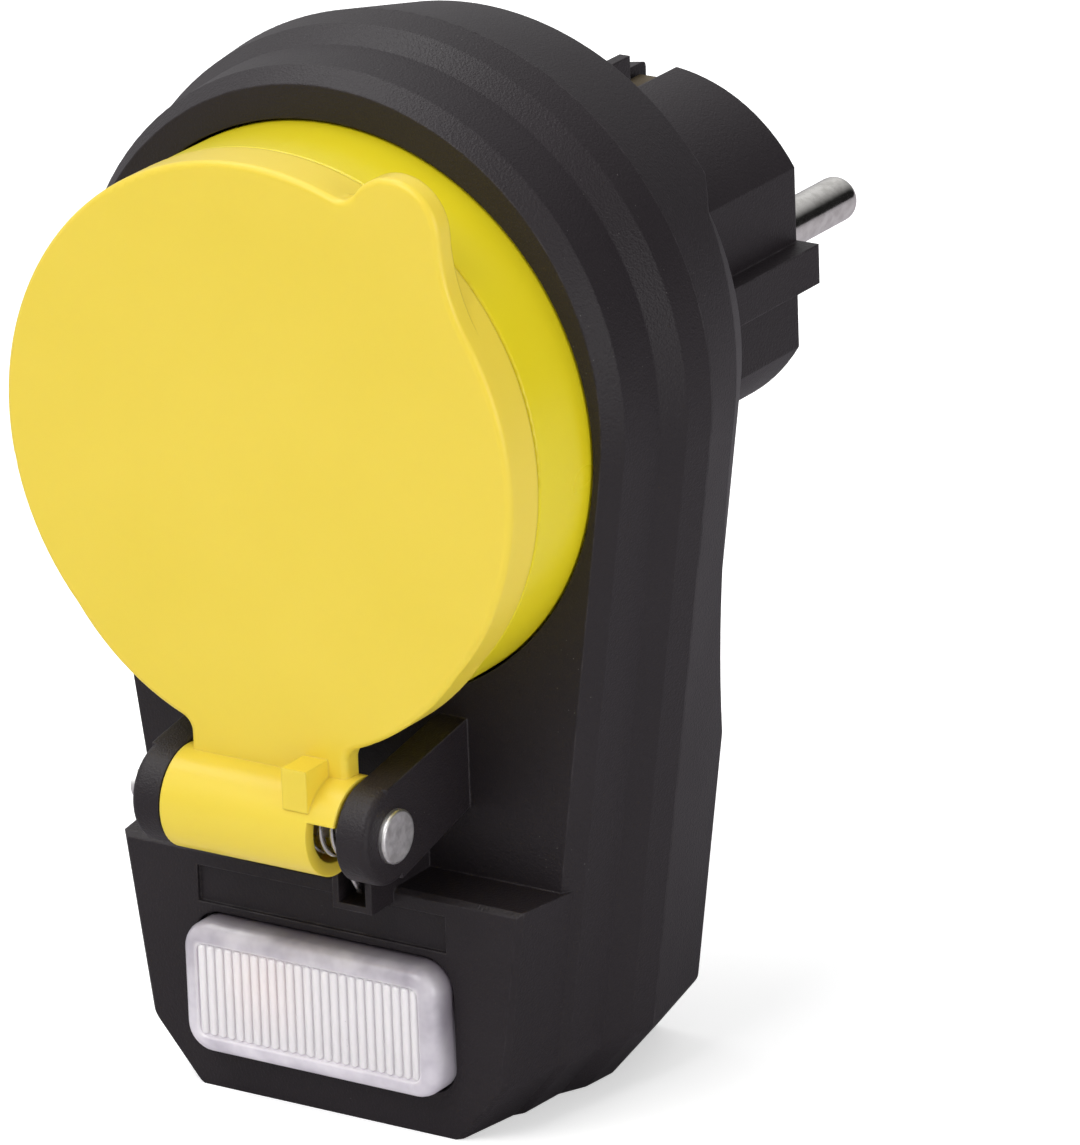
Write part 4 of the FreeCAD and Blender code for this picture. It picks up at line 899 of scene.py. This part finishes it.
NODE_COATS: Dict[str, Coat] = {
    "front_housing": Coat.BLACK_SHELL, "rear_housing": Coat.BLACK_SHELL, "plug_body": Coat.BLACK_SHELL,
    "socket_insert": Coat.BLACK_INSERT, "light_sensor": Coat.BLACK_INSERT,
    "lid": Coat.YELLOW_LID, "socket_collar": Coat.YELLOW_COLLAR_LIT,
    "housing_gasket": Coat.RUBBER, "plug_seal": Coat.RUBBER, "collar_gasket": Coat.RUBBER,
    "lens_gasket": Coat.RUBBER, "lid_seal": Coat.RUBBER,
    "housing_screws": Coat.ZINC_STEEL, "plug_screws": Coat.ZINC_STEEL, "insert_screws": Coat.ZINC_STEEL,
    "board_screws": Coat.ZINC_STEEL, "pin_retainer": Coat.ZINC_STEEL,
    "hinge_pin": Coat.PIN_STEEL, "hinge_spring": Coat.SPRING_WIRE,
    "left_plug_pin": Coat.LEFT_NICKEL, "right_plug_pin": Coat.RIGHT_NICKEL,
    "left_contact": Coat.BRASS, "right_contact": Coat.BRASS, "socket_earth_clip": Coat.BRASS,
    "earth_bridge": Coat.BRASS, "live_busbar": Coat.BRASS, "switched_busbar": Coat.BRASS,
    "neutral_busbar": Coat.BRASS, "plug_earth_strip": Coat.SHADED_BRASS,
    "indicator_lens": Coat.WINDOW, "indicator_lamp": Coat.LAMP_GLASS, "circuit_board": Coat.BOARD,
    "relay": Coat.RELAY_CASE, "capacitor": Coat.CAPACITOR_CASE,
}


def build_finishes() -> Dict[Coat, Material]:
    """Build the shared effects and then every material of the part.

    Returns:
        The materials by their coat.
    """
    GROUPS.update({effect: effect.value.build() for effect in Shared})
    return {coat: coat.value.build() for coat in Coat}


def set_material(piece: bpy.types.Object, material: Material) -> None:
    """Give a piece one material in every slot.

    Args:
        piece: The piece to dress.
        material: Its new material.
    """
    if not piece.material_slots:
        piece.data.materials.append(material)
    for slot in piece.material_slots:
        slot.material = material


# Pieces


class ShapeTree(Graph):
    """A geometry node tree with named inputs for its sizes."""

    def __init__(self, name: str, inputs: Dict[str, str]) -> None:
        """Create the tree with its sockets.

        Args:
            name: Name of the tree.
            inputs: Names of the inputs with their socket types.
        """
        super().__init__(bpy.data.node_groups.new(name, "GeometryNodeTree"))
        sockets = self.tree.interface
        sockets.new_socket("Geometry", in_out="INPUT", socket_type="NodeSocketGeometry")
        for key, kind in inputs.items():
            sockets.new_socket(key, in_out="INPUT", socket_type=kind)
        sockets.new_socket("Geometry", in_out="OUTPUT", socket_type="NodeSocketGeometry")
        self.source = self.add("NodeGroupInput")
        self.result = self.add("NodeGroupOutput")

    def size(self, name: str) -> Socket:
        """Give the socket of a named input."""
        return self.source.outputs[name]

    def position(self) -> Tuple[Socket, Socket, Socket]:
        """Give the X, Y and Z of each point."""
        return self.parts(self.add("GeometryNodeInputPosition").outputs[0])

    def polar_sheet(self, around: int, along: int,
                    shape: Callable[[Socket, Socket], Tuple[Socket, Socket]]) -> Socket:
        """Roll a grid round the Z axis into a surface whose radius and height follow a rule.

        Args:
            around: Number of divisions of the turn.
            along: Number of divisions of the profile.
            shape: Rule from the turn and the profile place, both 0 to 1, to radius and height.

        Returns:
            The surface, still open at its seam.
        """
        grid = self.add("GeometryNodeMeshGrid", {"Size X": 1.0, "Size Y": 1.0, "Vertices X": around + 1,
                                                 "Vertices Y": along + 1})
        across, up, _ = self.position()
        turn = self.math("ADD", across, 0.5)
        radius, height = shape(turn, self.math("ADD", up, 0.5))
        angle = self.math("MULTIPLY", turn, math.tau)
        x = self.math("MULTIPLY", radius, self.math("COSINE", angle))
        y = self.math("MULTIPLY", radius, self.math("SINE", angle))
        return self.moved(grid.outputs["Mesh"], Position=self.vector(x, y, height))

    def moved(self, geometry: Socket, **change: Socket) -> Socket:
        """Give the points of a geometry a new Position or an Offset."""
        return self.add("GeometryNodeSetPosition", {"Geometry": geometry, **change}).outputs["Geometry"]

    def gather(self, *parts: Socket) -> Socket:
        """Join several geometries into one.

        Args:
            parts: The geometries.

        Returns:
            The joined geometry.
        """
        join = self.add("GeometryNodeJoinGeometry")
        for part in parts:
            self.join(part, join.inputs["Geometry"])
        return join.outputs["Geometry"]

    def close(self, geometry: Socket) -> Socket:
        """Merge the points that lie on each other."""
        values = {"Geometry": geometry, "Distance": MERGE_DISTANCE}
        return self.add("GeometryNodeMergeByDistance", values).outputs["Geometry"]

    def finish(self, geometry: Socket) -> None:
        """Realize the instances, set the finish and close the tree.

        Args:
            geometry: What the tree has made.
        """
        real = self.add("GeometryNodeRealizeInstances", {"Geometry": geometry})
        dressed = self.add("GeometryNodeSetMaterial",
                           {"Geometry": real.outputs["Geometry"], "Material": self.size("Finish")})
        self.join(dressed.outputs["Geometry"], self.result.inputs["Geometry"])

    def make(self, name: str, base: bpy.types.Mesh, values: Dict[str, object],
             sharp_angle: float) -> bpy.types.Object:
        """Run the tree on a mesh and keep the result as a plain mesh.

        Args:
            name: Name of the new piece.
            base: Mesh that the tree starts from.
            values: Values of the named inputs.
            sharp_angle: Angle in degrees above which an edge stays sharp.

        Returns:
            The new piece, at the origin.
        """
        blank = place_piece(name + "_base", base)
        modifier = blank.modifiers.new("shape", "NODES")
        modifier.node_group = self.tree
        for item in self.tree.interface.items_tree:
            if item.in_out == "INPUT" and item.name in values:
                modifier[item.identifier] = values[item.name]
        evaluated = blank.evaluated_get(bpy.context.evaluated_depsgraph_get())
        mesh = bpy.data.meshes.new_from_object(evaluated)
        bpy.data.objects.remove(blank)
        mesh.name = name
        for face in mesh.polygons:
            face.use_smooth = True
        mesh.set_sharp_from_angle(angle=math.radians(sharp_angle))
        return place_piece(name, mesh)


def place_piece(name: str, data: bpy.types.ID) -> bpy.types.Object:
    """Put a mesh, lamp or camera into the scene.

    Args:
        name: Name of the new object.
        data: Its mesh, lamp or camera.

    Returns:
        The new object, at the origin.
    """
    piece = bpy.data.objects.new(name, data)
    bpy.context.scene.collection.objects.link(piece)
    return piece


@dataclass(frozen=True)
class ScrewPattern:
    """Where one set of equal screws sits."""

    node: str
    places: Tuple[Pair, ...]
    head_back: bool = True


@dataclass
class Screws:
    """Thread-forming screws with domed heads and a cross recess."""

    finish: Material
    head_radius: float = 2.2
    head_height: float = 1.8
    rim_power: float = 0.5
    crown_power: float = 0.75
    head_mesh: Tuple[int, int] = (40, 14)
    recess_span: float = 2.5
    recess_width: float = 0.55
    recess_depth: float = 1.0
    recess_flare: float = 0.3
    thread_radius: float = 1.42
    thread_height: float = 0.28
    pitch: float = 1.1
    ridge_width: float = 0.32
    thread_mesh: Tuple[int, int] = (24, 110)
    tip_length: float = 1.2
    tip_share: float = 0.55
    end_share: float = 0.0001
    turn_seed: int = 5
    sharp_angle: float = 34.0
    patterns: Tuple[ScrewPattern, ...] = (
        ScrewPattern("housing_screws", ((19.6, 20.5), (-19.6, 20.5), (20.4, -44.0), (-20.4, -44.0))),
        ScrewPattern("insert_screws", ((25.2, 0.0), (0.0, 25.2), (-25.2, 0.0), (0.0, -25.2))),
        ScrewPattern("plug_screws", ((25.0, 0.0), (0.0, 25.0), (-25.0, 0.0), (0.0, -25.0)), False),
        ScrewPattern("board_screws", ((15.0, -38.5), (15.0, -51.5), (-15.0, -38.5), (-15.0, -51.5))),
    )

    def sizes(self) -> Dict[str, float]:
        """Name the sizes as the tree's inputs are named.

        Returns:
            The sizes in metres by name.
        """
        named = {
            "Head Radius": self.head_radius, "Head Height": self.head_height, "Recess Span": self.recess_span,
            "Recess Width": self.recess_width, "Recess Depth": self.recess_depth, "Pitch": self.pitch,
            "Thread Radius": self.thread_radius, "Thread Height": self.thread_height,
            "Tip Length": self.tip_length,
        }
        return {name: size * MM for name, size in named.items()}

    def build(self) -> None:
        """Make every set of screws in the place of its node."""
        tree = self.make_tree()
        head = self.head_height * MM
        for pattern in self.patterns:
            low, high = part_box(pattern.node)
            seat, way = (high[1] - head, 1.0) if pattern.head_back else (low[1] + head, -1.0)
            points = bpy.data.meshes.new(pattern.node + "_places")
            spots = [at(x, 0.0, z) for x, z in pattern.places]
            points.from_pydata([(spot.x, seat, spot.z) for spot in spots], [], [])
            values = {**self.sizes(), "Length": (high[1] - low[1]) - head, "Axis": (0.0, way, 0.0),
                      "Turn Seed": self.turn_seed, "Finish": self.finish}
            piece = tree.make(pattern.node + "_threaded", points, values, self.sharp_angle)
            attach(piece, Body.HOUSING.value)
            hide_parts(pattern.node)
            LOG.info("built %s", piece.name)

    def make_tree(self) -> ShapeTree:
        """Build the tree of one screw, set on every point.

        Returns:
            The tree.
        """
        inputs = {name: NUMBER for name in (*self.sizes(), "Length")}
        inputs.update({"Axis": VECTOR, "Turn Seed": "NodeSocketInt", "Finish": "NodeSocketMaterial"})
        tree = ShapeTree("screw", inputs)
        one = tree.gather(self.recessed_head(tree), self.threaded_shank(tree))
        turn = tree.add("FunctionNodeRandomValue",
                        {"Min": 0.0, "Max": QUARTER_TURN, "Seed": tree.size("Turn Seed")}, data_type="FLOAT")
        angle = next(socket for socket in turn.outputs if socket.enabled and socket.type == "VALUE")
        lean = tree.add("FunctionNodeAlignRotationToVector", {"Vector": tree.size("Axis")}, axis="Z")
        spin = tree.add("FunctionNodeAxisAngleToRotation", {"Axis": (0.0, 0.0, 1.0), "Angle": angle})
        both = tree.add("FunctionNodeRotateRotation",
                        {"Rotation": lean.outputs["Rotation"], "Rotate By": spin.outputs["Rotation"]},
                        rotation_space="LOCAL")
        spread = tree.add("GeometryNodeInstanceOnPoints",
                          {"Points": tree.size("Geometry"), "Instance": one,
                           "Rotation": both.outputs["Rotation"]})
        tree.finish(spread.outputs["Instances"])
        return tree

    def recessed_head(self, tree: ShapeTree) -> Socket:
        """Head as a rounded dome with a tapering cross recess.

        Args:
            tree: The tree to build in.

        Returns:
            The head's geometry.
        """

        def dome(_: Socket, travel: Socket) -> Tuple[Socket, Socket]:
            """Rounded profile from the rim at 0 to the crown at 1.

            Args:
                _: Place in the turn, which a round head doesn't need.
                travel: Place between the rim and the crown.

            Returns:
                The radius and the height.
            """
            angle = tree.math("MULTIPLY", travel, QUARTER_TURN)
            inward = tree.math("MAXIMUM", tree.math("COSINE", angle), 0.0)
            upward = tree.math("MAXIMUM", tree.math("SINE", angle), 0.0)
            across = tree.math("POWER", inward, self.rim_power)
            rise = tree.math("POWER", upward, self.crown_power)
            return (tree.math("MULTIPLY", across, tree.size("Head Radius")),
                    tree.math("MULTIPLY", rise, tree.size("Head Height")))

        crown = tree.polar_sheet(*self.head_mesh, dome)
        seat = tree.add("GeometryNodeMeshCircle",
                        {"Vertices": self.head_mesh[0], "Radius": tree.size("Head Radius")}, fill_type="NGON")
        under = tree.add("GeometryNodeFlipFaces", {"Mesh": seat.outputs["Mesh"]})
        head = tree.close(tree.gather(crown, under.outputs["Mesh"]))
        cut = tree.add("GeometryNodeMeshBoolean", operation="DIFFERENCE", solver="EXACT")
        tree.join(head, cut.inputs["Mesh 1"])
        for span, width in (("Recess Span", "Recess Width"), ("Recess Width", "Recess Span")):
            tree.join(self.recess_wing(tree, span, width), cut.inputs["Mesh 2"])
        return cut.outputs["Mesh"]

    def recess_wing(self, tree: ShapeTree, span: str, width: str) -> Socket:
        """One wing of the recess, wider at the crown than at its floor.

        Args:
            tree: The tree to build in.
            span: Name of the input along X.
            width: Name of the input along Y.

        Returns:
            The wing's geometry.
        """
        depth = tree.size("Recess Depth")
        size = tree.vector(tree.size(span), tree.size(width), tree.math("MULTIPLY", depth, 2.0))
        bar = tree.add("GeometryNodeMeshCube", {"Size": size})
        x, y, z = tree.position()
        widen = tree.math("MULTIPLY_ADD", tree.math("DIVIDE", z, depth), self.recess_flare, 1.0)
        place = tree.vector(tree.math("MULTIPLY", x, widen), tree.math("MULTIPLY", y, widen),
                            tree.math("ADD", z, tree.size("Head Height")))
        return tree.moved(bar.outputs["Mesh"], Position=place)

    def threaded_shank(self, tree: ShapeTree) -> Socket:
        """Shank with one thread winding up it and a blunt point.

        Args:
            tree: The tree to build in.

        Returns:
            The shank's geometry.
        """

        def thread(turn: Socket, travel: Socket) -> Tuple[Socket, Socket]:
            """Core radius with a sharp ridge that climbs one pitch a turn.

            Args:
                turn: Place in the turn.
                travel: Place between the point and the head.

            Returns:
                The radius and the height.
            """
            climb = tree.math("MULTIPLY", travel, tree.size("Length"))
            phase = tree.math("SUBTRACT", tree.math("DIVIDE", climb, tree.size("Pitch")), turn)
            away = tree.math("ABSOLUTE", tree.math("SUBTRACT", tree.math("FRACT", phase), 0.5))
            ridge = tree.span(away, (0.0, self.ridge_width), FALLING)
            sunk = tree.math("MULTIPLY", tree.math("SUBTRACT", 1.0, ridge), tree.size("Thread Height"))
            full = tree.math("SUBTRACT", tree.size("Thread Radius"), sunk)
            blunt = tree.math("DIVIDE", climb, tree.size("Tip Length"), clamp=True)
            taper = tree.math("MULTIPLY_ADD", blunt, 1.0 - self.tip_share, self.tip_share)
            inside = tree.math("MULTIPLY", tree.math("GREATER_THAN", travel, self.end_share),
                               tree.math("LESS_THAN", travel, 1.0 - self.end_share))
            radius = tree.math("MULTIPLY", tree.math("MULTIPLY", full, taper), inside)
            return radius, tree.math("SUBTRACT", climb, tree.size("Length"))

        return tree.close(tree.polar_sheet(*self.thread_mesh, thread))


@dataclass
class RibbedWindow:
    """Indicator window: a rounded milky cap with a sunk field of upright ribs."""

    finish: Material
    node: str = "indicator_lens"
    half_width: float = 15.2
    bottom: float = -67.4
    height: float = 14.0
    front: float = -9.8
    back: float = -6.0
    corner: float = 3.0
    least_corner: float = 0.5
    front_round: float = 1.6
    arc_steps: int = 8
    wall: float = 1.6
    field_border: float = 2.0
    field_depth: float = 0.45
    lip: float = 0.16
    rib_count: int = 25
    rib_radius: float = 0.44
    rib_gap: float = 0.12
    rib_mesh: Tuple[int, int] = (16, 9)
    sharp_angle: float = 38.0

    def build(self) -> None:
        """Make the cap and its ribs in the place of the node."""
        tree = self.make_tree()
        field = self.half_width - self.field_border
        pitch = 2.0 * field / self.rib_count
        middle = self.bottom + self.height / 2.0
        values = {
            "Count": self.rib_count, "Pitch": pitch * MM, "Rib Radius": self.rib_radius * MM,
            "Rib Length": (self.height - 2.0 * (self.field_border + self.rib_gap)) * MM,
            "First Rib": at(-field + pitch / 2.0, self.front + self.field_depth, middle),
            "Finish": self.finish,
        }
        piece = tree.make("ribbed_window", self.cap(), values, self.sharp_angle)
        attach(piece, Body.HOUSING.value)
        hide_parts(self.node)
        LOG.info("built %s", piece.name)

    def make_tree(self) -> ShapeTree:
        """Build the tree that lays the row of ribs beside the cap.

        Returns:
            The tree.
        """
        tree = ShapeTree("window_ribs", {
            "Count": "NodeSocketInt", "Pitch": NUMBER, "Rib Radius": NUMBER, "Rib Length": NUMBER,
            "First Rib": VECTOR, "Finish": "NodeSocketMaterial",
        })
        step = tree.vector(tree.size("Pitch"), 0.0, 0.0)
        row = tree.add("GeometryNodeMeshLine", {
            "Count": tree.size("Count"), "Start Location": tree.size("First Rib"), "Offset": step,
        }, mode="OFFSET")
        spread = tree.add("GeometryNodeInstanceOnPoints",
                          {"Points": row.outputs["Mesh"], "Instance": self.rib(tree)})
        tree.finish(tree.gather(tree.size("Geometry"), spread.outputs["Instances"]))
        return tree

    def rib(self, tree: ShapeTree) -> Socket:
        """One upright rib with round ends: a ball drawn out along Z.

        Args:
            tree: The tree to build in.

        Returns:
            The rib's geometry.
        """
        sides, rings = self.rib_mesh
        ball = tree.add("GeometryNodeMeshUVSphere", {"Segments": sides, "Rings": rings,
                                                     "Radius": tree.size("Rib Radius")})
        z = tree.position()[2]
        end = tree.math("MULTIPLY", tree.size("Rib Length"), 0.5)
        half = tree.math("SUBTRACT", end, tree.size("Rib Radius"))
        push = tree.math("MULTIPLY", tree.math("SIGN", z), half)
        return tree.moved(ball.outputs["Mesh"], Offset=tree.vector(0.0, 0.0, push))

    def cap(self) -> bpy.types.Mesh:
        """Loft the cap from the sunk field over the rounded rim to the open back.

        Returns:
            The cap's mesh.
        """
        floor = self.front + self.field_depth
        loops = [(self.field_border + self.lip, floor), (self.field_border, floor - self.lip),
                 (self.field_border, self.front + self.lip), (self.field_border - self.lip, self.front)]
        for angle in self.arc_angles():
            loops.append((self.front_round * (1.0 - math.sin(angle)),
                          self.front + self.front_round * (1.0 - math.cos(angle))))
        loops += [(0.0, self.back), (self.wall, self.back), (self.wall, self.front + self.wall)]
        mesh = bmesh.new()
        rings = [[mesh.verts.new(point) for point in self.outline(inset, y)] for inset, y in loops]
        for first, second in zip(rings, rings[1:]):
            for i, corner in enumerate(first):
                follow = (i + 1) % len(first)
                mesh.faces.new((corner, first[follow], second[follow], second[i]))
        mesh.faces.new(rings[0][::-1])
        mesh.faces.new(rings[-1])
        bmesh.ops.recalc_face_normals(mesh, faces=mesh.faces)
        result = bpy.data.meshes.new("window_cap")
        mesh.to_mesh(result)
        mesh.free()
        return result

    def arc_angles(self) -> List[float]:
        """Give the angles of a quarter arc, from 0 to a quarter turn."""
        return [QUARTER_TURN * i / self.arc_steps for i in range(self.arc_steps + 1)]

    def outline(self, inset: float, y: float) -> List[Vector]:
        """Points of the rounded outline, drawn in by a distance.

        Args:
            inset: Distance from the outer edge.
            y: Depth of the outline.

        Returns:
            The points in order.
        """
        radius = max(self.corner - inset, self.least_corner)
        right = self.half_width - inset - radius
        top = self.bottom + self.height - inset - radius
        low = self.bottom + inset + radius
        points = []
        for quarter, (x, z) in enumerate(((right, top), (-right, top), (-right, low), (right, low))):
            for angle in self.arc_angles():
                turned = quarter * QUARTER_TURN + angle
                points.append(at(x + radius * math.cos(turned), y, z + radius * math.sin(turned)))
        return points


@dataclass
class WoundSpring:
    """Lid spring: one leg stays in the housing, and the coils wind up with the other leg and the lid; here
    the frame's node is copied as one still piece.
    """

    finish: Material
    node: str = "hinge_spring"
    still_x: float = 8.5
    moving_x: float = 6.25
    axis: Pair = (-13.6, -37.5)

    def build(self, nodes: Nodes) -> None:
        """Make the spring in the place of the node.

        Args:
            nodes: The frame's nodes by name.
        """
        piece = place_piece("wound_spring", nodes[self.node].data.copy())
        set_material(piece, self.finish)
        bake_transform(piece)
        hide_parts(self.node)
        LOG.info("built %s", piece.name)


@dataclass
class FrameDress:
    """Finishes of the nodes that stay as the frame has them."""

    finishes: Dict[Coat, Material]

    def dress(self, nodes: Nodes) -> None:
        """Dress every node.

        Args:
            nodes: The frame's nodes by name.
        """
        for name, node in nodes.items():
            set_material(node, self.finishes[NODE_COATS[name]])
            LOG.info("dressed %s", name)


# Stage


@dataclass(frozen=True)
class SoftLamp:
    """Square lamp that shines at a point, with lengths in metres and power in watts."""

    name: str
    place: Point
    aim: Point
    size: float
    power: float

    def build(self) -> None:
        """Add the lamp to the scene."""
        data = bpy.data.lights.new(self.name, "AREA")
        data.shape = "SQUARE"
        data.size = self.size
        data.energy = self.power
        lamp = place_piece(self.name, data)
        lamp.location = self.place
        lamp.rotation_mode = "QUATERNION"
        lamp.rotation_quaternion = (Vector(self.aim) - Vector(self.place)).to_track_quat("-Z", "Y")


@dataclass
class Studio:
    """Floor, soft lamps, surroundings and the camera at the photograph's angle."""

    camera_place: Point = (539.05, -781.90, 333.04)
    right: Point = (0.8399, 0.5417, -0.0340)
    up: Point = (-0.1610, 0.3086, 0.9375)
    back: Point = (0.5183, -0.7819, 0.3464)
    pixels_per_radian: float = 10270.0
    shift: Pair = (0.01747, -0.0004)
    clip: Pair = (0.05, 20.0)
    floor_size: float = 8.0
    floor_lift: float = 0.47
    floor_paper: Rgb = (0.93, 0.93, 0.93)
    floor_gloss: Rgb = (0.43, 0.41, 0.44)
    bright_side: Point = (-0.66, 0.22, 0.72)
    light_span: Pair = (-0.6, 0.8)
    world_light: Pair = (0.40, 0.58)
    gloss_span: Pair = (0.1, 0.9)
    world_gloss: Pair = (0.01, 0.80)
    front_side: Point = (0.0, -0.62, 0.78)
    front_span: Pair = (0.45, 0.95)
    front_gloss: Pair = (0.0, 0.75)
    lamps: Tuple[SoftLamp, ...] = (
        SoftLamp("key_lamp", (-0.20, -0.95, 1.12), (0.0, 0.0, 0.05), 0.8, 8.0),
        SoftLamp("top_lamp", (-0.50, 0.05, 1.15), (0.0, 0.0, 0.05), 0.8, 5.6),
        SoftLamp("side_lamp", (1.25, -0.35, 0.28), (0.0, 0.0, 0.04), 0.6, 5.0),
    )

    def build(self) -> None:
        """Build the whole stage."""
        self.make_floor()
        self.make_world()
        for lamp in self.lamps:
            lamp.build()
        self.make_camera()
        bpy.context.scene.view_settings.view_transform = "Standard"

    def make_camera(self) -> None:
        """Place the camera as it stood for the photograph."""
        data = bpy.data.cameras.new("photo_camera")
        data.lens = SENSOR * self.pixels_per_radian / PHOTO_HEIGHT
        data.sensor_width = SENSOR
        data.shift_x, data.shift_y = self.shift
        data.clip_start, data.clip_end = self.clip
        camera = place_piece("photo_camera", data)
        axes = Matrix((self.right, self.up, self.back)).transposed()
        camera.matrix_world = Matrix.Translation(at(*self.camera_place)) @ axes.to_4x4()
        bpy.context.scene.camera = camera

    def make_floor(self) -> None:
        """Lay a wide white floor that keeps the shadow."""
        half = self.floor_size / 2.0
        mesh = bpy.data.meshes.new("floor")
        corners = [(-half, -half, 0.0), (half, -half, 0.0), (half, half, 0.0), (-half, half, 0.0)]
        mesh.from_pydata(corners, [], [(0, 1, 2, 3)])
        mesh.materials.append(self.floor_material())
        place_piece("floor", mesh)

    def floor_material(self) -> Material:
        """Build the floor's paper: lifted to white for the camera, duller in reflections.

        Returns:
            The new material.
        """
        material = bpy.data.materials.new("floor_paper")
        material.use_nodes = True
        material.node_tree.nodes.clear()
        graph = Graph(material.node_tree)
        rays = graph.add("ShaderNodeLightPath").outputs
        colour = graph.mix(rays["Is Glossy Ray"], self.floor_paper, self.floor_gloss)
        paper = graph.add("ShaderNodeBsdfDiffuse", {"Color": colour})
        strength = graph.math("MULTIPLY", rays["Is Camera Ray"], self.floor_lift)
        lift = graph.add("ShaderNodeEmission", {"Strength": strength})
        both = graph.add("ShaderNodeAddShader")
        graph.join(paper.outputs["BSDF"], both.inputs[0])
        graph.join(lift.outputs["Emission"], both.inputs[1])
        graph.add("ShaderNodeOutputMaterial", {"Surface": both.outputs["Shader"]})
        return material

    def make_world(self) -> None:
        """Surroundings: white to the camera, and round the object brighter at two sides."""
        world = bpy.data.worlds.new("surroundings")
        world.use_nodes = True
        bpy.context.scene.world = world
        graph = Graph(world.node_tree)
        backdrop = world.node_tree.nodes["Background"]
        backdrop.inputs["Color"].default_value = (1.0, 1.0, 1.0, 1.0)
        direction = graph.add("ShaderNodeTexCoord").outputs["Generated"]
        behind = graph.measure("DOT_PRODUCT", direction, Vector(self.bright_side).normalized())
        ahead = graph.measure("DOT_PRODUCT", direction, Vector(self.front_side).normalized())
        rays = graph.add("ShaderNodeLightPath").outputs
        light = graph.span(behind, self.light_span, self.world_light)
        gloss = graph.math("ADD", graph.span(behind, self.gloss_span, self.world_gloss),
                           graph.span(ahead, self.front_span, self.front_gloss))
        light = graph.blend(rays["Is Glossy Ray"], light, gloss)
        seen = graph.math("MAXIMUM", rays["Is Camera Ray"], rays["Is Transmission Ray"])
        graph.join(graph.blend(seen, light, 1.0), backdrop.inputs["Strength"])


def main() -> None:
    """Build the looks in order and report each piece."""
    logging.basicConfig(level=logging.INFO, format="%(name)s: %(message)s")
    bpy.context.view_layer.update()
    Studio().build()
    finishes = build_finishes()
    FrameDress(finishes).dress(frame["nodes"])
    Screws(finishes[Coat.ZINC_STEEL]).build()
    RibbedWindow(finishes[Coat.WINDOW]).build()
    WoundSpring(finishes[Coat.SPRING_WIRE]).build(frame["nodes"])


if __name__ == "__main__":
    main()
